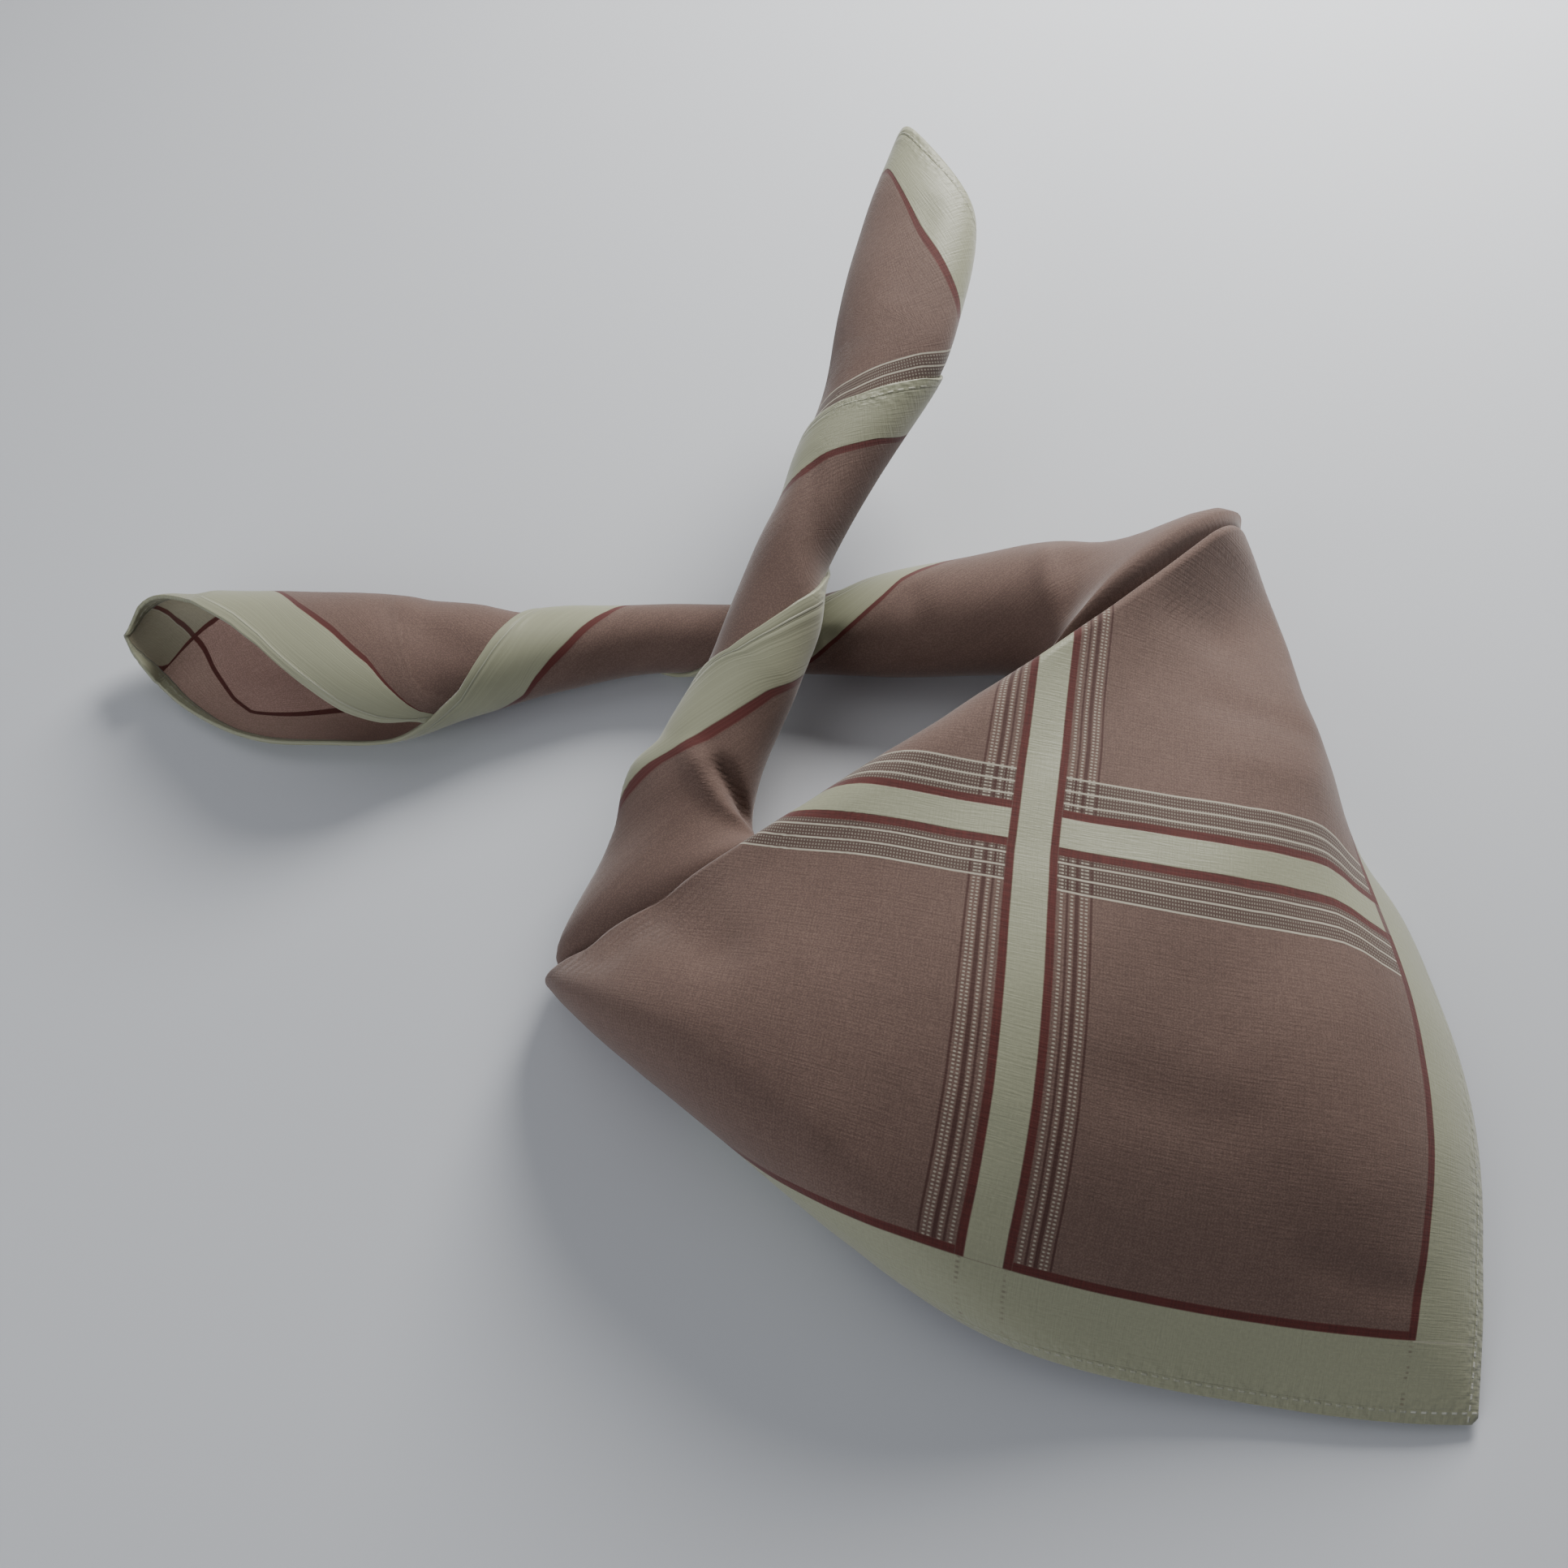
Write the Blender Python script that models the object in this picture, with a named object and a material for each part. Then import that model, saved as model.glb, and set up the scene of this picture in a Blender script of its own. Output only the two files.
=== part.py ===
"""A square cotton neckerchief, rolled on its diagonal and laid down folded.

One corner of the square hangs free as a domed triangular front panel. The rest of the cloth is
rolled. The roll bends sharply at both ends of the panel's top fold, and its two tails cross
behind the panel: the left tail runs up over the right one, and the right tail ends in an open,
pointed mouth. Sizes are in millimetres until the meshes are made. X is to the right, Y away from
the panel's free corner, Z up, and the origin is the middle of the footprint, on the floor.
"""

import math

import bmesh
import bpy
import numpy as np

MM = 0.001

# Cloth and gaps
WALL = 1.2
FLAP = 8.0
WELD = 0.00001

# Mesh steps
PANEL_ROWS = 26
PANEL_COLUMNS = 44
SECTION_STEPS = 240
FOLD_STEPS = 60
LEFT_ROLL_RINGS = 44
RIGHT_ROLL_RINGS = 52
ROLL_SIDES = 28
MOUTH_ROWS = 26
MOUTH_COLUMNS = 30
MOUTH_CROWDING = 1.2

# The front panel, by sections across it, from the free corner to the top fold.
# reach is the distance from the corner; x, y, z is the section's middle; heading and turn aim it
# and bend it in plan (degrees, degrees per 100 mm); tilt leans it; the slopes are how steeply it
# falls at its two edges, and the edges say how far from its middle it starts to curl under.
PANEL_KEYS = (
    "reach", "x", "y", "z", "heading", "turn", "tilt",
    "left_slope", "right_slope", "left_edge", "right_edge",
)
PANEL_SECTIONS = (
    (0, 107, -131.5, 1.3, 32, 0, 9, 14, 34, 21, 41),
    (22, 98, -116.5, 10.3, 28, 20, 14, 11, 52, 29, 50),
    (48, 88, -97, 20.4, 27.5, 20, 13, 5, 67, 45, 57),
    (76, 76, -73, 29.8, 30, 29, 2, 8, 55, 53, 72),
    (104, 63, -47, 34.7, 27, 22, -5, 16, 15, 60, 59),
    (130, 51, -23, 34.4, 25, 18, -1, 12, 30, 69, 81),
    (147, 43.3, -7.5, 35.6, 24, 15, 1, 31, 11, 84, 70),
)
PANEL_KEEP = 1.5
EDGE_ON_FLOOR = 1.3
EDGE_TURNED = 3.4
TURN_RAMP = 10.0
CURL_DENSITY = 3.5

# The rounded lip that ends the panel at its top fold: tight where a tail lies behind it, and wide
# over the neck roll. Distances run along the fold, to the right of the section's middle.
LIP_ROWS = 6
LIP_TIGHT, LIP_TIGHT_TURN = 1.6, 60.0
LIP_WIDE, LIP_WIDE_TURN = 8.0, 110.0
LIP_PULL, LIP_PULL_WIDE, LIP_PULL_OVER = 1.2, 5.5, 30.0
LIP_FROM, LIP_TO, LIP_RAMP = -24.0, 12.0, 8.0

# The neck roll, along the same fold
NECK_FROM, NECK_TO = -30.0, 20.0
NECK_HALF_WIDTH = 8.8
NECK_GAP = 2.1
NECK_INSET = 8.4
NECK_END = 7.0
NECK_SINK = 0.5
NECK_ROUNDING = 0.85
NECK_RINGS = 12
NECK_SIDES = 22

# The tails, by sections along them, each from its free end. across is the plan direction of the
# section's width, lean tips it, and floor is the lowest its underside may lie.
TAIL_KEYS = (
    "station", "x", "y", "z", "half_width", "half_height", "across", "lean", "floor",
)
RIGHT_TAIL = (
    (0, -119.2, 59.4, 11, 2.3, 2, -84, 0, 0),
    (3, -115.5, 59.9, 11.5, 6.7, 5, -92, 0, 0),
    (9, -110, 57.5, 11, 11.9, 8, -122, 0, 0),
    (16, -104.4, 53.8, 11, 14.8, 9.8, -119, 0, 0),
    (23, -98, 50.5, 10.9, 16.2, 10.9, -113, 0, 0),
    (33, -88.8, 46.9, 11, 17.5, 11.5, -106, 0, 0),
    (48, -74.7, 43.3, 11.5, 17.3, 12, -99, 0, 0),
    (63, -59.7, 41, 11, 16.6, 11.5, -93, 0, 0),
    (74, -48.6, 41.3, 10, 13.9, 10.5, -90, 0, 0),
    (81, -41.5, 41, 9.5, 12.3, 10, -92, 0, 0),
    (89, -33.6, 40.5, 8.7, 9.8, 9.2, -91, 0, 0),
    (99, -24.1, 40.7, 8.1, 9, 8.6, -90, 0, 0),
    (108, -14.4, 40.4, 7.7, 8, 8.2, -95, 0, 0),
    (118, -4.9, 39.4, 7.5, 7.6, 8, -98, 0, 0),
    (127, 3.9, 37.7, 7.5, 7.7, 8, -99, 0, 0),
    (139, 15.6, 35.8, 7.5, 7.7, 8, -98, 0, 0),
    (153, 29.7, 33.9, 8.1, 9.2, 8.6, -97, 0, 0),
    (166, 42.4, 32.6, 9.3, 11.5, 9.8, -98, 0, 0),
    (186, 62, 29.8, 11.5, 12.8, 12, -103, 0, 0),
    (199, 75, 26, 13.5, 15, 14, -114, 2, 0),
    (207, 83, 22.5, 15.5, 22, 16, -135, 4, 0),
    (213, 90.3, 21, 16.6, 28.5, 16.4, -149, 6, 1.7),
    (216, 87, 14.8, 14.7, 19, 12.5, -149, 6, 1.7),
    (221, 89.6, 10.4, 14.5, 18.5, 12, -149, 6, 1.7),
)
LEFT_TAIL = (
    (0, 66.8, 128.6, 46, 6.4, 4.2, -15, 0, 0),
    (10, 64.9, 118.4, 44.7, 9.6, 5.3, -15, 0, 0),
    (20, 62.5, 109, 43.2, 11.8, 6.2, -16, 0, 0),
    (30, 59, 99.4, 41.5, 12.6, 7, -18, 0, 0),
    (41, 54.9, 89.2, 39.7, 12.8, 8, -21, 0, 0),
    (53, 50.3, 78.5, 37.7, 12.4, 8.5, -24, 0, 0),
    (64.5, 44.6, 68.9, 35.6, 10.4, 8.8, -30, 0, 0),
    (74.5, 39, 60.8, 33.8, 9.2, 9, -37, 0, 0),
    (84.5, 33.3, 52.8, 31.9, 8.7, 9.2, -38, 0, 0),
    (93.5, 28.6, 45.5, 29.8, 7.9, 9.9, -38, 0, 0),
    (102, 23.7, 38.6, 27.5, 8, 10.6, -36, 0, 0),
    (111.5, 19.7, 30.4, 25.2, 9.2, 10.8, -32, 0, 0),
    (120, 15.5, 23, 23.3, 9.5, 10.6, -31, 0, 0),
    (130, 10.7, 15.1, 21, 9.8, 10.4, -31, 0, 0),
    (139, 5.2, 7.9, 18.5, 10.4, 10.6, -30, 0, 0),
    (148.5, 0.2, 0.4, 15.8, 11.3, 11, -30, 0, 0),
    (156, -3, -6.2, 12.6, 12.2, 12, -24, 0, 0),
    (165, -4.8, -15, 11, 16, 12, -4, 8, 0),
    (174, -10.4, -24.6, 11.4, 23.3, 9.6, 14, 19, 1.7),
    (177, -9.5, -27.4, 11, 18.5, 8.6, 14, 21, 1.7),
    (182, -8.2, -32.6, 11, 18, 8.4, 14, 21, 1.7),
)
# Both tails cross where the left one clears the right one by this much
CROSSING_GAP = 0.6
CROSSING_FROM, CROSSING_TO, CROSSING_STEPS = 95, 190, 96

# The rolled edge of the outer layer winds round each tail: its angle (degrees from the width's
# direction, turning over the top) at each station, and how high it stands over the layer below.
HEM_KEYS = ("station", "angle", "height")
HEM_INSET = 0.02
RIGHT_HEM = (
    (68, 5, 0.9), (76, 30, 0.9), (82, 66, 0.9), (87, 100, 0.9), (91, 131, 0.9), (110, 260, 0.9),
    (128, 372, 0.9), (137, 416, 0.9), (146, 453, 0.9), (158, 491, 0.7), (185, 600, 0.1),
    (221, 720, 0),
)
LEFT_HEM = (
    (47, -65, 0.9), (55, -10, 0.9), (60, 31, 0.9), (65, 61, 0.9), (70, 88, 0.9), (78, 150, 0.9),
    (91, 270, 0.9), (102, 357, 0.9), (114, 412, 0.9), (122, 443, 0.9), (128, 470, 0.9),
    (131, 501, 0.9), (146, 600, 0.6), (161, 690, 0.1), (182, 800, 0),
)

# The right tail's open mouth: where its two hems stand at each station, from the pointed corner.
# The wall runs from the upper hem over the top, down the back and forward along the floor.
MOUTH_KEYS = ("station", "upper", "lower")
MOUTH = (
    (0, 205, 240), (3, 161, 266), (6, 141, 288), (12, 127, 309), (21, 112, 319), (29, 100, 324),
    (37, 84, 324), (44, 65, 327), (50, 48, 328), (55, 33, 330), (61, 20, 335), (67.7, 13, 350),
)
MOUTH_FROM, MOUTH_TO = 1.0, 67.6
RIGHT_ROLL_FROM = 68.0

# The left tail's open tip: a hem cut slantwise, lowest on its right, and facing away
TIP_MEAN, TIP_SLANT, TIP_HIGH_SIDE = 10.5, 13.0, 140.0
TIP_TO = 47.6
LEFT_ROLL_FROM = 48.3
TIP_ROWS = 14
TIP_COLUMNS = 30

ROUGHNESS = 0.85
COLOURS = {
    "front_panel": (0.22, 0.155, 0.125),
    "neck_roll": (0.21, 0.15, 0.12),
    "left_tail": (0.23, 0.16, 0.13),
    "left_tail_tip": (0.36, 0.33, 0.26),
    "right_tail": (0.2, 0.14, 0.115),
    "right_tail_mouth": (0.3, 0.26, 0.2),
}


def spline(stations, rows, at):
    """A natural cubic spline through rows of values, read at the given stations."""
    x, y = np.asarray(stations, float), np.asarray(rows, float)
    at = np.atleast_1d(np.asarray(at, float))
    steps, count = np.diff(x), len(x)
    matrix, right = np.eye(count), np.zeros(y.shape)
    for i in range(1, count - 1):
        matrix[i, i - 1], matrix[i, i + 1] = steps[i - 1], steps[i]
        matrix[i, i] = 2 * (steps[i - 1] + steps[i])
        right[i] = 6 * ((y[i + 1] - y[i]) / steps[i] - (y[i] - y[i - 1]) / steps[i - 1])
    bend = np.linalg.solve(matrix, right)
    k = np.clip(np.searchsorted(x, at, side="right") - 1, 0, count - 2)
    shape = (-1,) + (1,) * (y.ndim - 1)
    width = steps[k].reshape(shape)
    a = (x[k + 1] - at).reshape(shape) / width
    b = 1 - a
    curve = ((a**3 - a) * bend[k] + (b**3 - b) * bend[k + 1]) * width**2 / 6
    return a * y[k] + b * y[k + 1] + curve


def read(keys, rows, at):
    """A table read between its rows: a dictionary of arrays, one value for each place in at."""
    table = np.array(rows, float)
    values = spline(table[:, 0], table[:, 1:], at)
    return {key: values[:, i] for i, key in enumerate(keys[1:])}


def ramp(value, low, high):
    """0 below low, 1 above high, and a smooth rise between."""
    t = np.clip((value - low) / (high - low), 0.0, 1.0)
    return t * t * (3 - 2 * t)


def half_section(reach, row, side, steps=SECTION_STEPS):
    """One half of a panel section, from its middle out to the left (side -1) or the right (1).

    The section falls ever more steeply to its edge. There it either ends, as the cloth's hem, or
    turns under in a half circle that lands on the floor, and goes on as a short flap.
    Returns the distances from the middle and the points.
    """
    name = "left" if side < 0 else "right"
    edge = min(row[name + "_edge"], reach)
    slope = math.radians(row[name + "_slope"])
    tilt = -side * math.radians(row["tilt"])
    fall = slope + tilt

    near = np.linspace(0, edge, steps)
    down = slope * near / edge + tilt
    drops = (np.sin(down[1:]) + np.sin(down[:-1])) / 2 * np.diff(near)
    height = row["z"] - drops.sum()
    wanted = EDGE_ON_FLOOR + (EDGE_TURNED - EDGE_ON_FLOOR) * ramp(reach - edge, 0, TURN_RAMP)
    lift = max(0.0, wanted - height)
    height += lift
    curl = height * (math.pi - fall) / (1 + math.cos(fall))

    end = min(reach, edge + curl + FLAP)
    far = np.linspace(edge, end, steps) if end > edge + 1e-6 else np.array([])
    along = np.concatenate([near, far[1:]])
    turn = np.clip((far[1:] - edge) / curl, 0, 1)
    down = np.concatenate([down, fall + (math.pi - fall) * turn])

    heading = math.radians(row["heading"]) + math.radians(row["turn"]) * side * along / 100
    run = np.stack(
        [
            side * np.cos(heading) * np.cos(down),
            side * np.sin(heading) * np.cos(down),
            -np.sin(down),
        ],
        axis=1,
    )
    mean = (run[1:] + run[:-1]) / 2 * np.diff(along)[:, None]
    points = np.concatenate([np.zeros((1, 3)), np.cumsum(mean, axis=0)])
    points += [row["x"], row["y"], row["z"]]
    points[:, 2] += lift * np.minimum(along / edge, 1) ** 2
    return along, points, edge


def panel_section(reach, row, columns):
    """One panel section, as evenly spread points, closer together where the cloth turns under.

    Returns the distances from the section's middle and the points.
    """
    left_along, left, left_edge = half_section(reach, row, -1)
    right_along, right, right_edge = half_section(reach, row, 1)
    along = np.concatenate([-left_along[:0:-1], right_along])
    points = np.concatenate([left[:0:-1], right])
    turned = (along < -left_edge) | (along > right_edge)
    weight = np.where(turned, CURL_DENSITY, 1.0)
    total = np.concatenate([[0], np.cumsum((weight[1:] + weight[:-1]) / 2 * np.diff(along))])
    chosen = np.interp(np.linspace(0, total[-1], columns), total, along)
    spots = np.stack([np.interp(chosen, along, points[:, i]) for i in range(3)], axis=1)
    return chosen, spots


def lip(before, fold, along):
    """The rows that round the panel over at its fold: tight at the tails, wide at the neck.

    Returns how far each point of the fold is pulled forward, to keep the outline, and the rows.
    """
    across = np.gradient(fold, axis=0)
    across /= np.linalg.norm(across, axis=1)[:, None]
    onward = fold - before
    onward -= np.sum(onward * across, axis=1)[:, None] * across
    onward /= np.linalg.norm(onward, axis=1)[:, None]
    outward = np.cross(across, onward)
    wide = ramp(along, LIP_FROM - LIP_RAMP, LIP_FROM) * (1 - ramp(along, LIP_TO, LIP_TO + LIP_RAMP))
    pull = -(LIP_PULL + (LIP_PULL_WIDE - LIP_PULL) * wide)[:, None] * onward
    radius = (LIP_TIGHT + (LIP_WIDE - LIP_TIGHT) * wide)[:, None]
    turn = np.radians(LIP_TIGHT_TURN + (LIP_WIDE_TURN - LIP_TIGHT_TURN) * wide)[:, None]
    rows = []
    for i in range(1, LIP_ROWS + 1):
        angle = turn * i / LIP_ROWS
        rows.append(radius * (np.sin(angle) * onward - (1 - np.cos(angle)) * outward))
    return pull, [fold + pull + row for row in rows]


def panel_grid(rows, columns):
    """The outer face of the front panel, row by row from the free corner to the lip."""
    last = PANEL_SECTIONS[-1][0]
    reaches = PANEL_KEEP + (last - PANEL_KEEP) * np.linspace(0, 1, rows)
    table = read(PANEL_KEYS, PANEL_SECTIONS, reaches)
    grid = []
    for i, reach in enumerate(reaches):
        row = {key: values[i] for key, values in table.items()}
        along, points = panel_section(reach, row, columns)
        grid.append(points)
    before = [np.interp(along, *pair) for pair in side_by_side(last - 1, along)]
    pull, over = lip(np.stack(before, axis=1), grid[-1], along)
    for i, reach in enumerate(reaches):
        grid[i] = grid[i] + pull * ramp(reach, last - LIP_PULL_OVER, last)
    return np.array(grid + over)


def side_by_side(reach, along):
    """Pairs of distance and coordinate for the section at one reach, over the given distances."""
    table = read(PANEL_KEYS, PANEL_SECTIONS, reach)
    row = {key: values[0] for key, values in table.items()}
    spread, points = panel_section(reach, row, len(along) * 4)
    return [(spread, points[:, i]) for i in range(3)]


def fold_line(along):
    """Points of the panel's top fold, at distances from its middle."""
    pairs = side_by_side(PANEL_SECTIONS[-1][0], np.zeros(FOLD_STEPS))
    return np.stack([np.interp(along, *pair) for pair in pairs], axis=-1)


def ring(section, angles, drop):
    """Points of one tail section at the given angles (radians), each moved in by its drop."""
    across, lean = math.radians(section["across"]), math.radians(section["lean"])
    width = np.array(
        [math.cos(across) * math.cos(lean), math.sin(across) * math.cos(lean), math.sin(lean)]
    )
    height = np.array(
        [-math.cos(across) * math.sin(lean), -math.sin(across) * math.sin(lean), math.cos(lean)]
    )
    middle = np.array([section["x"], section["y"], section["z"]])
    wide = (section["half_width"] - drop) * np.cos(angles)
    high = (section["half_height"] - drop) * np.sin(angles)
    points = middle + wide[:, None] * width + high[:, None] * height
    points[:, 2] = np.maximum(points[:, 2], max(section["floor"], 0.0))
    return points


def tail_sections(rows, stations):
    """The tail's sections at the given stations, as one dictionary each."""
    table = read(TAIL_KEYS, rows, stations)
    count = len(np.atleast_1d(stations))
    return [{key: values[i] for key, values in table.items()} for i in range(count)]


def right_tail_top(x, y):
    """The height of the right tail's upper face over places of the floor, or 0 beside it."""
    sections = tail_sections(RIGHT_TAIL, np.linspace(CROSSING_FROM, CROSSING_TO, CROSSING_STEPS))
    middle = np.array([[s["x"], s["y"], s["z"]] for s in sections])
    size = np.array([[s["half_width"], s["half_height"]] for s in sections])
    nearest = np.abs(middle[None, :, 0] - np.asarray(x)[:, None]).argmin(axis=1)
    offset = (np.asarray(y) - middle[nearest, 1]) / size[nearest, 0]
    inside = np.clip(1 - offset**2, 0, None)
    return np.where(inside > 0, middle[nearest, 2] + size[nearest, 1] * np.sqrt(inside), 0.0)


def clear_the_crossing(points):
    """The left tail's underside, lifted wherever it would sink into the right tail."""
    top = right_tail_top(points[:, 0], points[:, 1])
    points[:, 2] = np.where(top > 0, np.maximum(points[:, 2], top + CROSSING_GAP), points[:, 2])
    return points


def roll(rows, hem_rows, start, end, rings, crosses=False):
    """A rolled tail as a closed solid, its outer layer stepped at the winding hem."""
    stations = np.linspace(start, end, rings)
    hem = read(HEM_KEYS, hem_rows, stations)
    turn = np.linspace(0, 2 * math.pi, ROLL_SIDES)
    points = []
    for i, section in enumerate(tail_sections(rows, stations)):
        drop = hem["height"][i] * (1 - turn / (2 * math.pi)) + HEM_INSET * (turn == 0)
        circle = ring(section, math.radians(hem["angle"][i]) + turn, drop)
        points.append(clear_the_crossing(circle) if crosses else circle)
    return capped_tube(np.array(points))


def capped_tube(rings):
    """Points and faces of a tube through rings of points, with a fan at each end."""
    count, sides = rings.shape[:2]
    points = rings.reshape(-1, 3).tolist()
    faces = []
    for i in range(count - 1):
        for j in range(sides):
            a, b = i * sides + j, i * sides + (j + 1) % sides
            faces.append((a, b, b + sides, a + sides))
    for i, first in ((0, 0), (count - 1, (count - 1) * sides)):
        points.append(rings[i].mean(axis=0).tolist())
        for j in range(sides):
            faces.append((first + j, first + (j + 1) % sides, len(points) - 1))
    return points, faces


def mouth_grid(rows, columns):
    """The outer face of the right tail's mouth, from its lower hem round to its upper one."""
    stations = MOUTH_FROM + (MOUTH_TO - MOUTH_FROM) * np.linspace(0, 1, rows) ** MOUTH_CROWDING
    hems = read(MOUTH_KEYS, MOUTH, stations)
    grid = []
    for i, section in enumerate(tail_sections(RIGHT_TAIL, stations)):
        angles = np.radians(np.linspace(hems["lower"][i], hems["upper"][i], columns))
        grid.append(ring(section, angles, np.zeros(columns)))
    return np.array(grid)


def tip_grid(rows, columns):
    """The outer face of the left tail's tip, a tube from its slanted rim to the roll."""
    grid = np.zeros((rows, columns, 3))
    for j, angle in enumerate(np.linspace(0, 360, columns, endpoint=False)):
        rim = TIP_MEAN - TIP_SLANT * math.cos(math.radians(angle - TIP_HIGH_SIDE))
        stations = rim + (TIP_TO - rim) * np.linspace(0, 1, rows)
        for i, section in enumerate(tail_sections(LEFT_TAIL, stations)):
            grid[i, j] = ring(section, np.radians([angle]), np.zeros(1))[0]
    return grid


def wall(grid, thickness, round_the_columns=False):
    """A closed wall whose outer face is the grid and whose inner face lies under it."""
    if round_the_columns:
        padded = np.concatenate([grid[:, -1:], grid, grid[:, :1]], axis=1)
        across = np.gradient(padded, axis=1)[:, 1:-1]
    else:
        across = np.gradient(grid, axis=1)
    outward = np.cross(across, np.gradient(grid, axis=0))
    outward /= np.linalg.norm(outward, axis=2)[:, :, None]
    inner = grid - thickness * outward
    inner[:, :, 2] = np.maximum(inner[:, :, 2], 0)
    rows, columns = grid.shape[:2]
    layer = rows * columns
    points = np.concatenate([grid.reshape(-1, 3), inner.reshape(-1, 3)]).tolist()
    faces = []
    last = columns if round_the_columns else columns - 1
    for i in range(rows - 1):
        for j in range(last):
            a, b = i * columns + j, i * columns + (j + 1) % columns
            faces.append((a, b, b + columns, a + columns))
            faces.append(tuple(layer + k for k in (a + columns, b + columns, b, a)))
    for j in range(last):
        k = (j + 1) % columns
        faces.append((k, j, layer + j, layer + k))
        j, k = layer - columns + j, layer - columns + k
        faces.append((j, k, layer + k, layer + j))
    if not round_the_columns:
        for i in range(rows - 1):
            a, b = i * columns, (i + 1) * columns
            faces.append((a, b, layer + b, layer + a))
            a, b = a + columns - 1, b + columns - 1
            faces.append((b, a, layer + a, layer + b))
    return points, faces


def neck_roll():
    """The hidden layers under the neck: an oval roll along the fold, rounded at both ends."""
    places = np.linspace(NECK_FROM, NECK_TO, NECK_RINGS)
    fold, ahead = fold_line(places), fold_line(places + 1)
    turn = np.linspace(0, 2 * math.pi, NECK_SIDES, endpoint=False)
    rings = []
    for place, point, onward in zip(places, fold, ahead):
        nearest_end = min(place - NECK_FROM, NECK_TO - place)
        full = math.sqrt(1 - (1 - min(nearest_end / NECK_END, 1)) ** 2 * NECK_ROUNDING)
        heading = math.atan2(onward[1] - point[1], onward[0] - point[0])
        back = np.array([-math.sin(heading), math.cos(heading), 0])
        top = point[2] - WALL - NECK_GAP
        half = top / 2 * full
        middle = np.array([point[0], point[1], top / 2]) - NECK_INSET * back
        width = NECK_HALF_WIDTH * full
        high = (half + NECK_SINK * full) * np.sin(turn) - NECK_SINK * full
        circle = middle + width * np.cos(turn)[:, None] * back + high[:, None] * [0, 0, 1]
        circle[:, 2] = np.maximum(circle[:, 2], 0)
        rings.append(circle)
    return capped_tube(np.array(rings))


def make(name, shape, shift):
    """One closed solid from points and faces in millimetres, with its own material."""
    points, faces = shape
    mesh = bpy.data.meshes.new(name)
    mesh.from_pydata([[(v - s) * MM for v, s in zip(p, shift)] for p in points], [], faces)
    form = bmesh.new()
    form.from_mesh(mesh)
    bmesh.ops.remove_doubles(form, verts=form.verts, dist=WELD)
    bmesh.ops.recalc_face_normals(form, faces=form.faces)
    bmesh.ops.triangulate(form, faces=form.faces)
    form.to_mesh(mesh)
    form.free()
    material = bpy.data.materials.new(name)
    material.use_nodes = True
    shader = material.node_tree.nodes["Principled BSDF"]
    shader.inputs["Base Color"].default_value = (*COLOURS[name], 1)
    shader.inputs["Roughness"].default_value = ROUGHNESS
    mesh.materials.append(material)
    thing = bpy.data.objects.new(name, mesh)
    bpy.context.scene.collection.objects.link(thing)
    return thing


def shapes():
    """Every solid of the neckerchief by name, as points and faces in millimetres."""
    left_end, right_end = LEFT_TAIL[-1][0], RIGHT_TAIL[-1][0]
    return {
        "front_panel": wall(panel_grid(PANEL_ROWS, PANEL_COLUMNS), WALL),
        "neck_roll": neck_roll(),
        "left_tail": roll(LEFT_TAIL, LEFT_HEM, LEFT_ROLL_FROM, left_end, LEFT_ROLL_RINGS, True),
        "left_tail_tip": wall(tip_grid(TIP_ROWS, TIP_COLUMNS), WALL, True),
        "right_tail": roll(RIGHT_TAIL, RIGHT_HEM, RIGHT_ROLL_FROM, right_end, RIGHT_ROLL_RINGS),
        "right_tail_mouth": wall(mouth_grid(MOUTH_ROWS, MOUTH_COLUMNS), WALL),
    }


def middle_of(parts):
    """The middle of the footprint of all parts, and their lowest height."""
    points = np.concatenate([np.array(shape[0]) for shape in parts.values()])
    low, high = points.min(axis=0), points.max(axis=0)
    return ((low[0] + high[0]) / 2, (low[1] + high[1]) / 2, low[2])


def main():
    """Clears the scene and builds the neckerchief's solids."""
    for thing in list(bpy.data.objects):
        bpy.data.objects.remove(thing, do_unlink=True)
    parts = shapes()
    shift = middle_of(parts)
    for name, shape in parts.items():
        make(name, shape, shift)


main()
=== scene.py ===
"""The looks of a square cotton neckerchief, rolled on its diagonal and laid down folded.

Every cloth piece is one thin sheet on the form of the solids it stands for. Each sheet's UV map
holds its place on the flat cloth, as distances from two neighbouring hems over the cloth's side,
so that the woven border, stripes and stitches follow the cloth round every fold.
"""

import logging
import math
from dataclasses import dataclass
from enum import Enum
from functools import reduce

import bmesh
import bpy
import numpy as np
from mathutils import Matrix, Vector, noise


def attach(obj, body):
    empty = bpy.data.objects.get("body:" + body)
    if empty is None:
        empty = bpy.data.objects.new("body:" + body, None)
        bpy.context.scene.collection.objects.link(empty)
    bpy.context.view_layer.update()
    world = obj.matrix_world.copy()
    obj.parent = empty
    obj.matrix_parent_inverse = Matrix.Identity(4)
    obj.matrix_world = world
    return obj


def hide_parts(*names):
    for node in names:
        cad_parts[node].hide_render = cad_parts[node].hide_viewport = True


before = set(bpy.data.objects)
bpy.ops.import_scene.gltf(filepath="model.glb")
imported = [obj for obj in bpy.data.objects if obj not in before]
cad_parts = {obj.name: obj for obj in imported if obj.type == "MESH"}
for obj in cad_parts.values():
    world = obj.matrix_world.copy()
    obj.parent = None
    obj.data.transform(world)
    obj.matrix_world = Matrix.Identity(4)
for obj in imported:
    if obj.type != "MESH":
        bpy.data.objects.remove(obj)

log = logging.getLogger("neckerchief")

# The cloth's sizes are in millimetres, and the scene is in metres
MM = 0.001
# The cloth's side
SIDE = 450.0
# The frame's origin, in the coordinates of the tables below
SHIFT = (3.5488, 0.5468, -0.0002)
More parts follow.
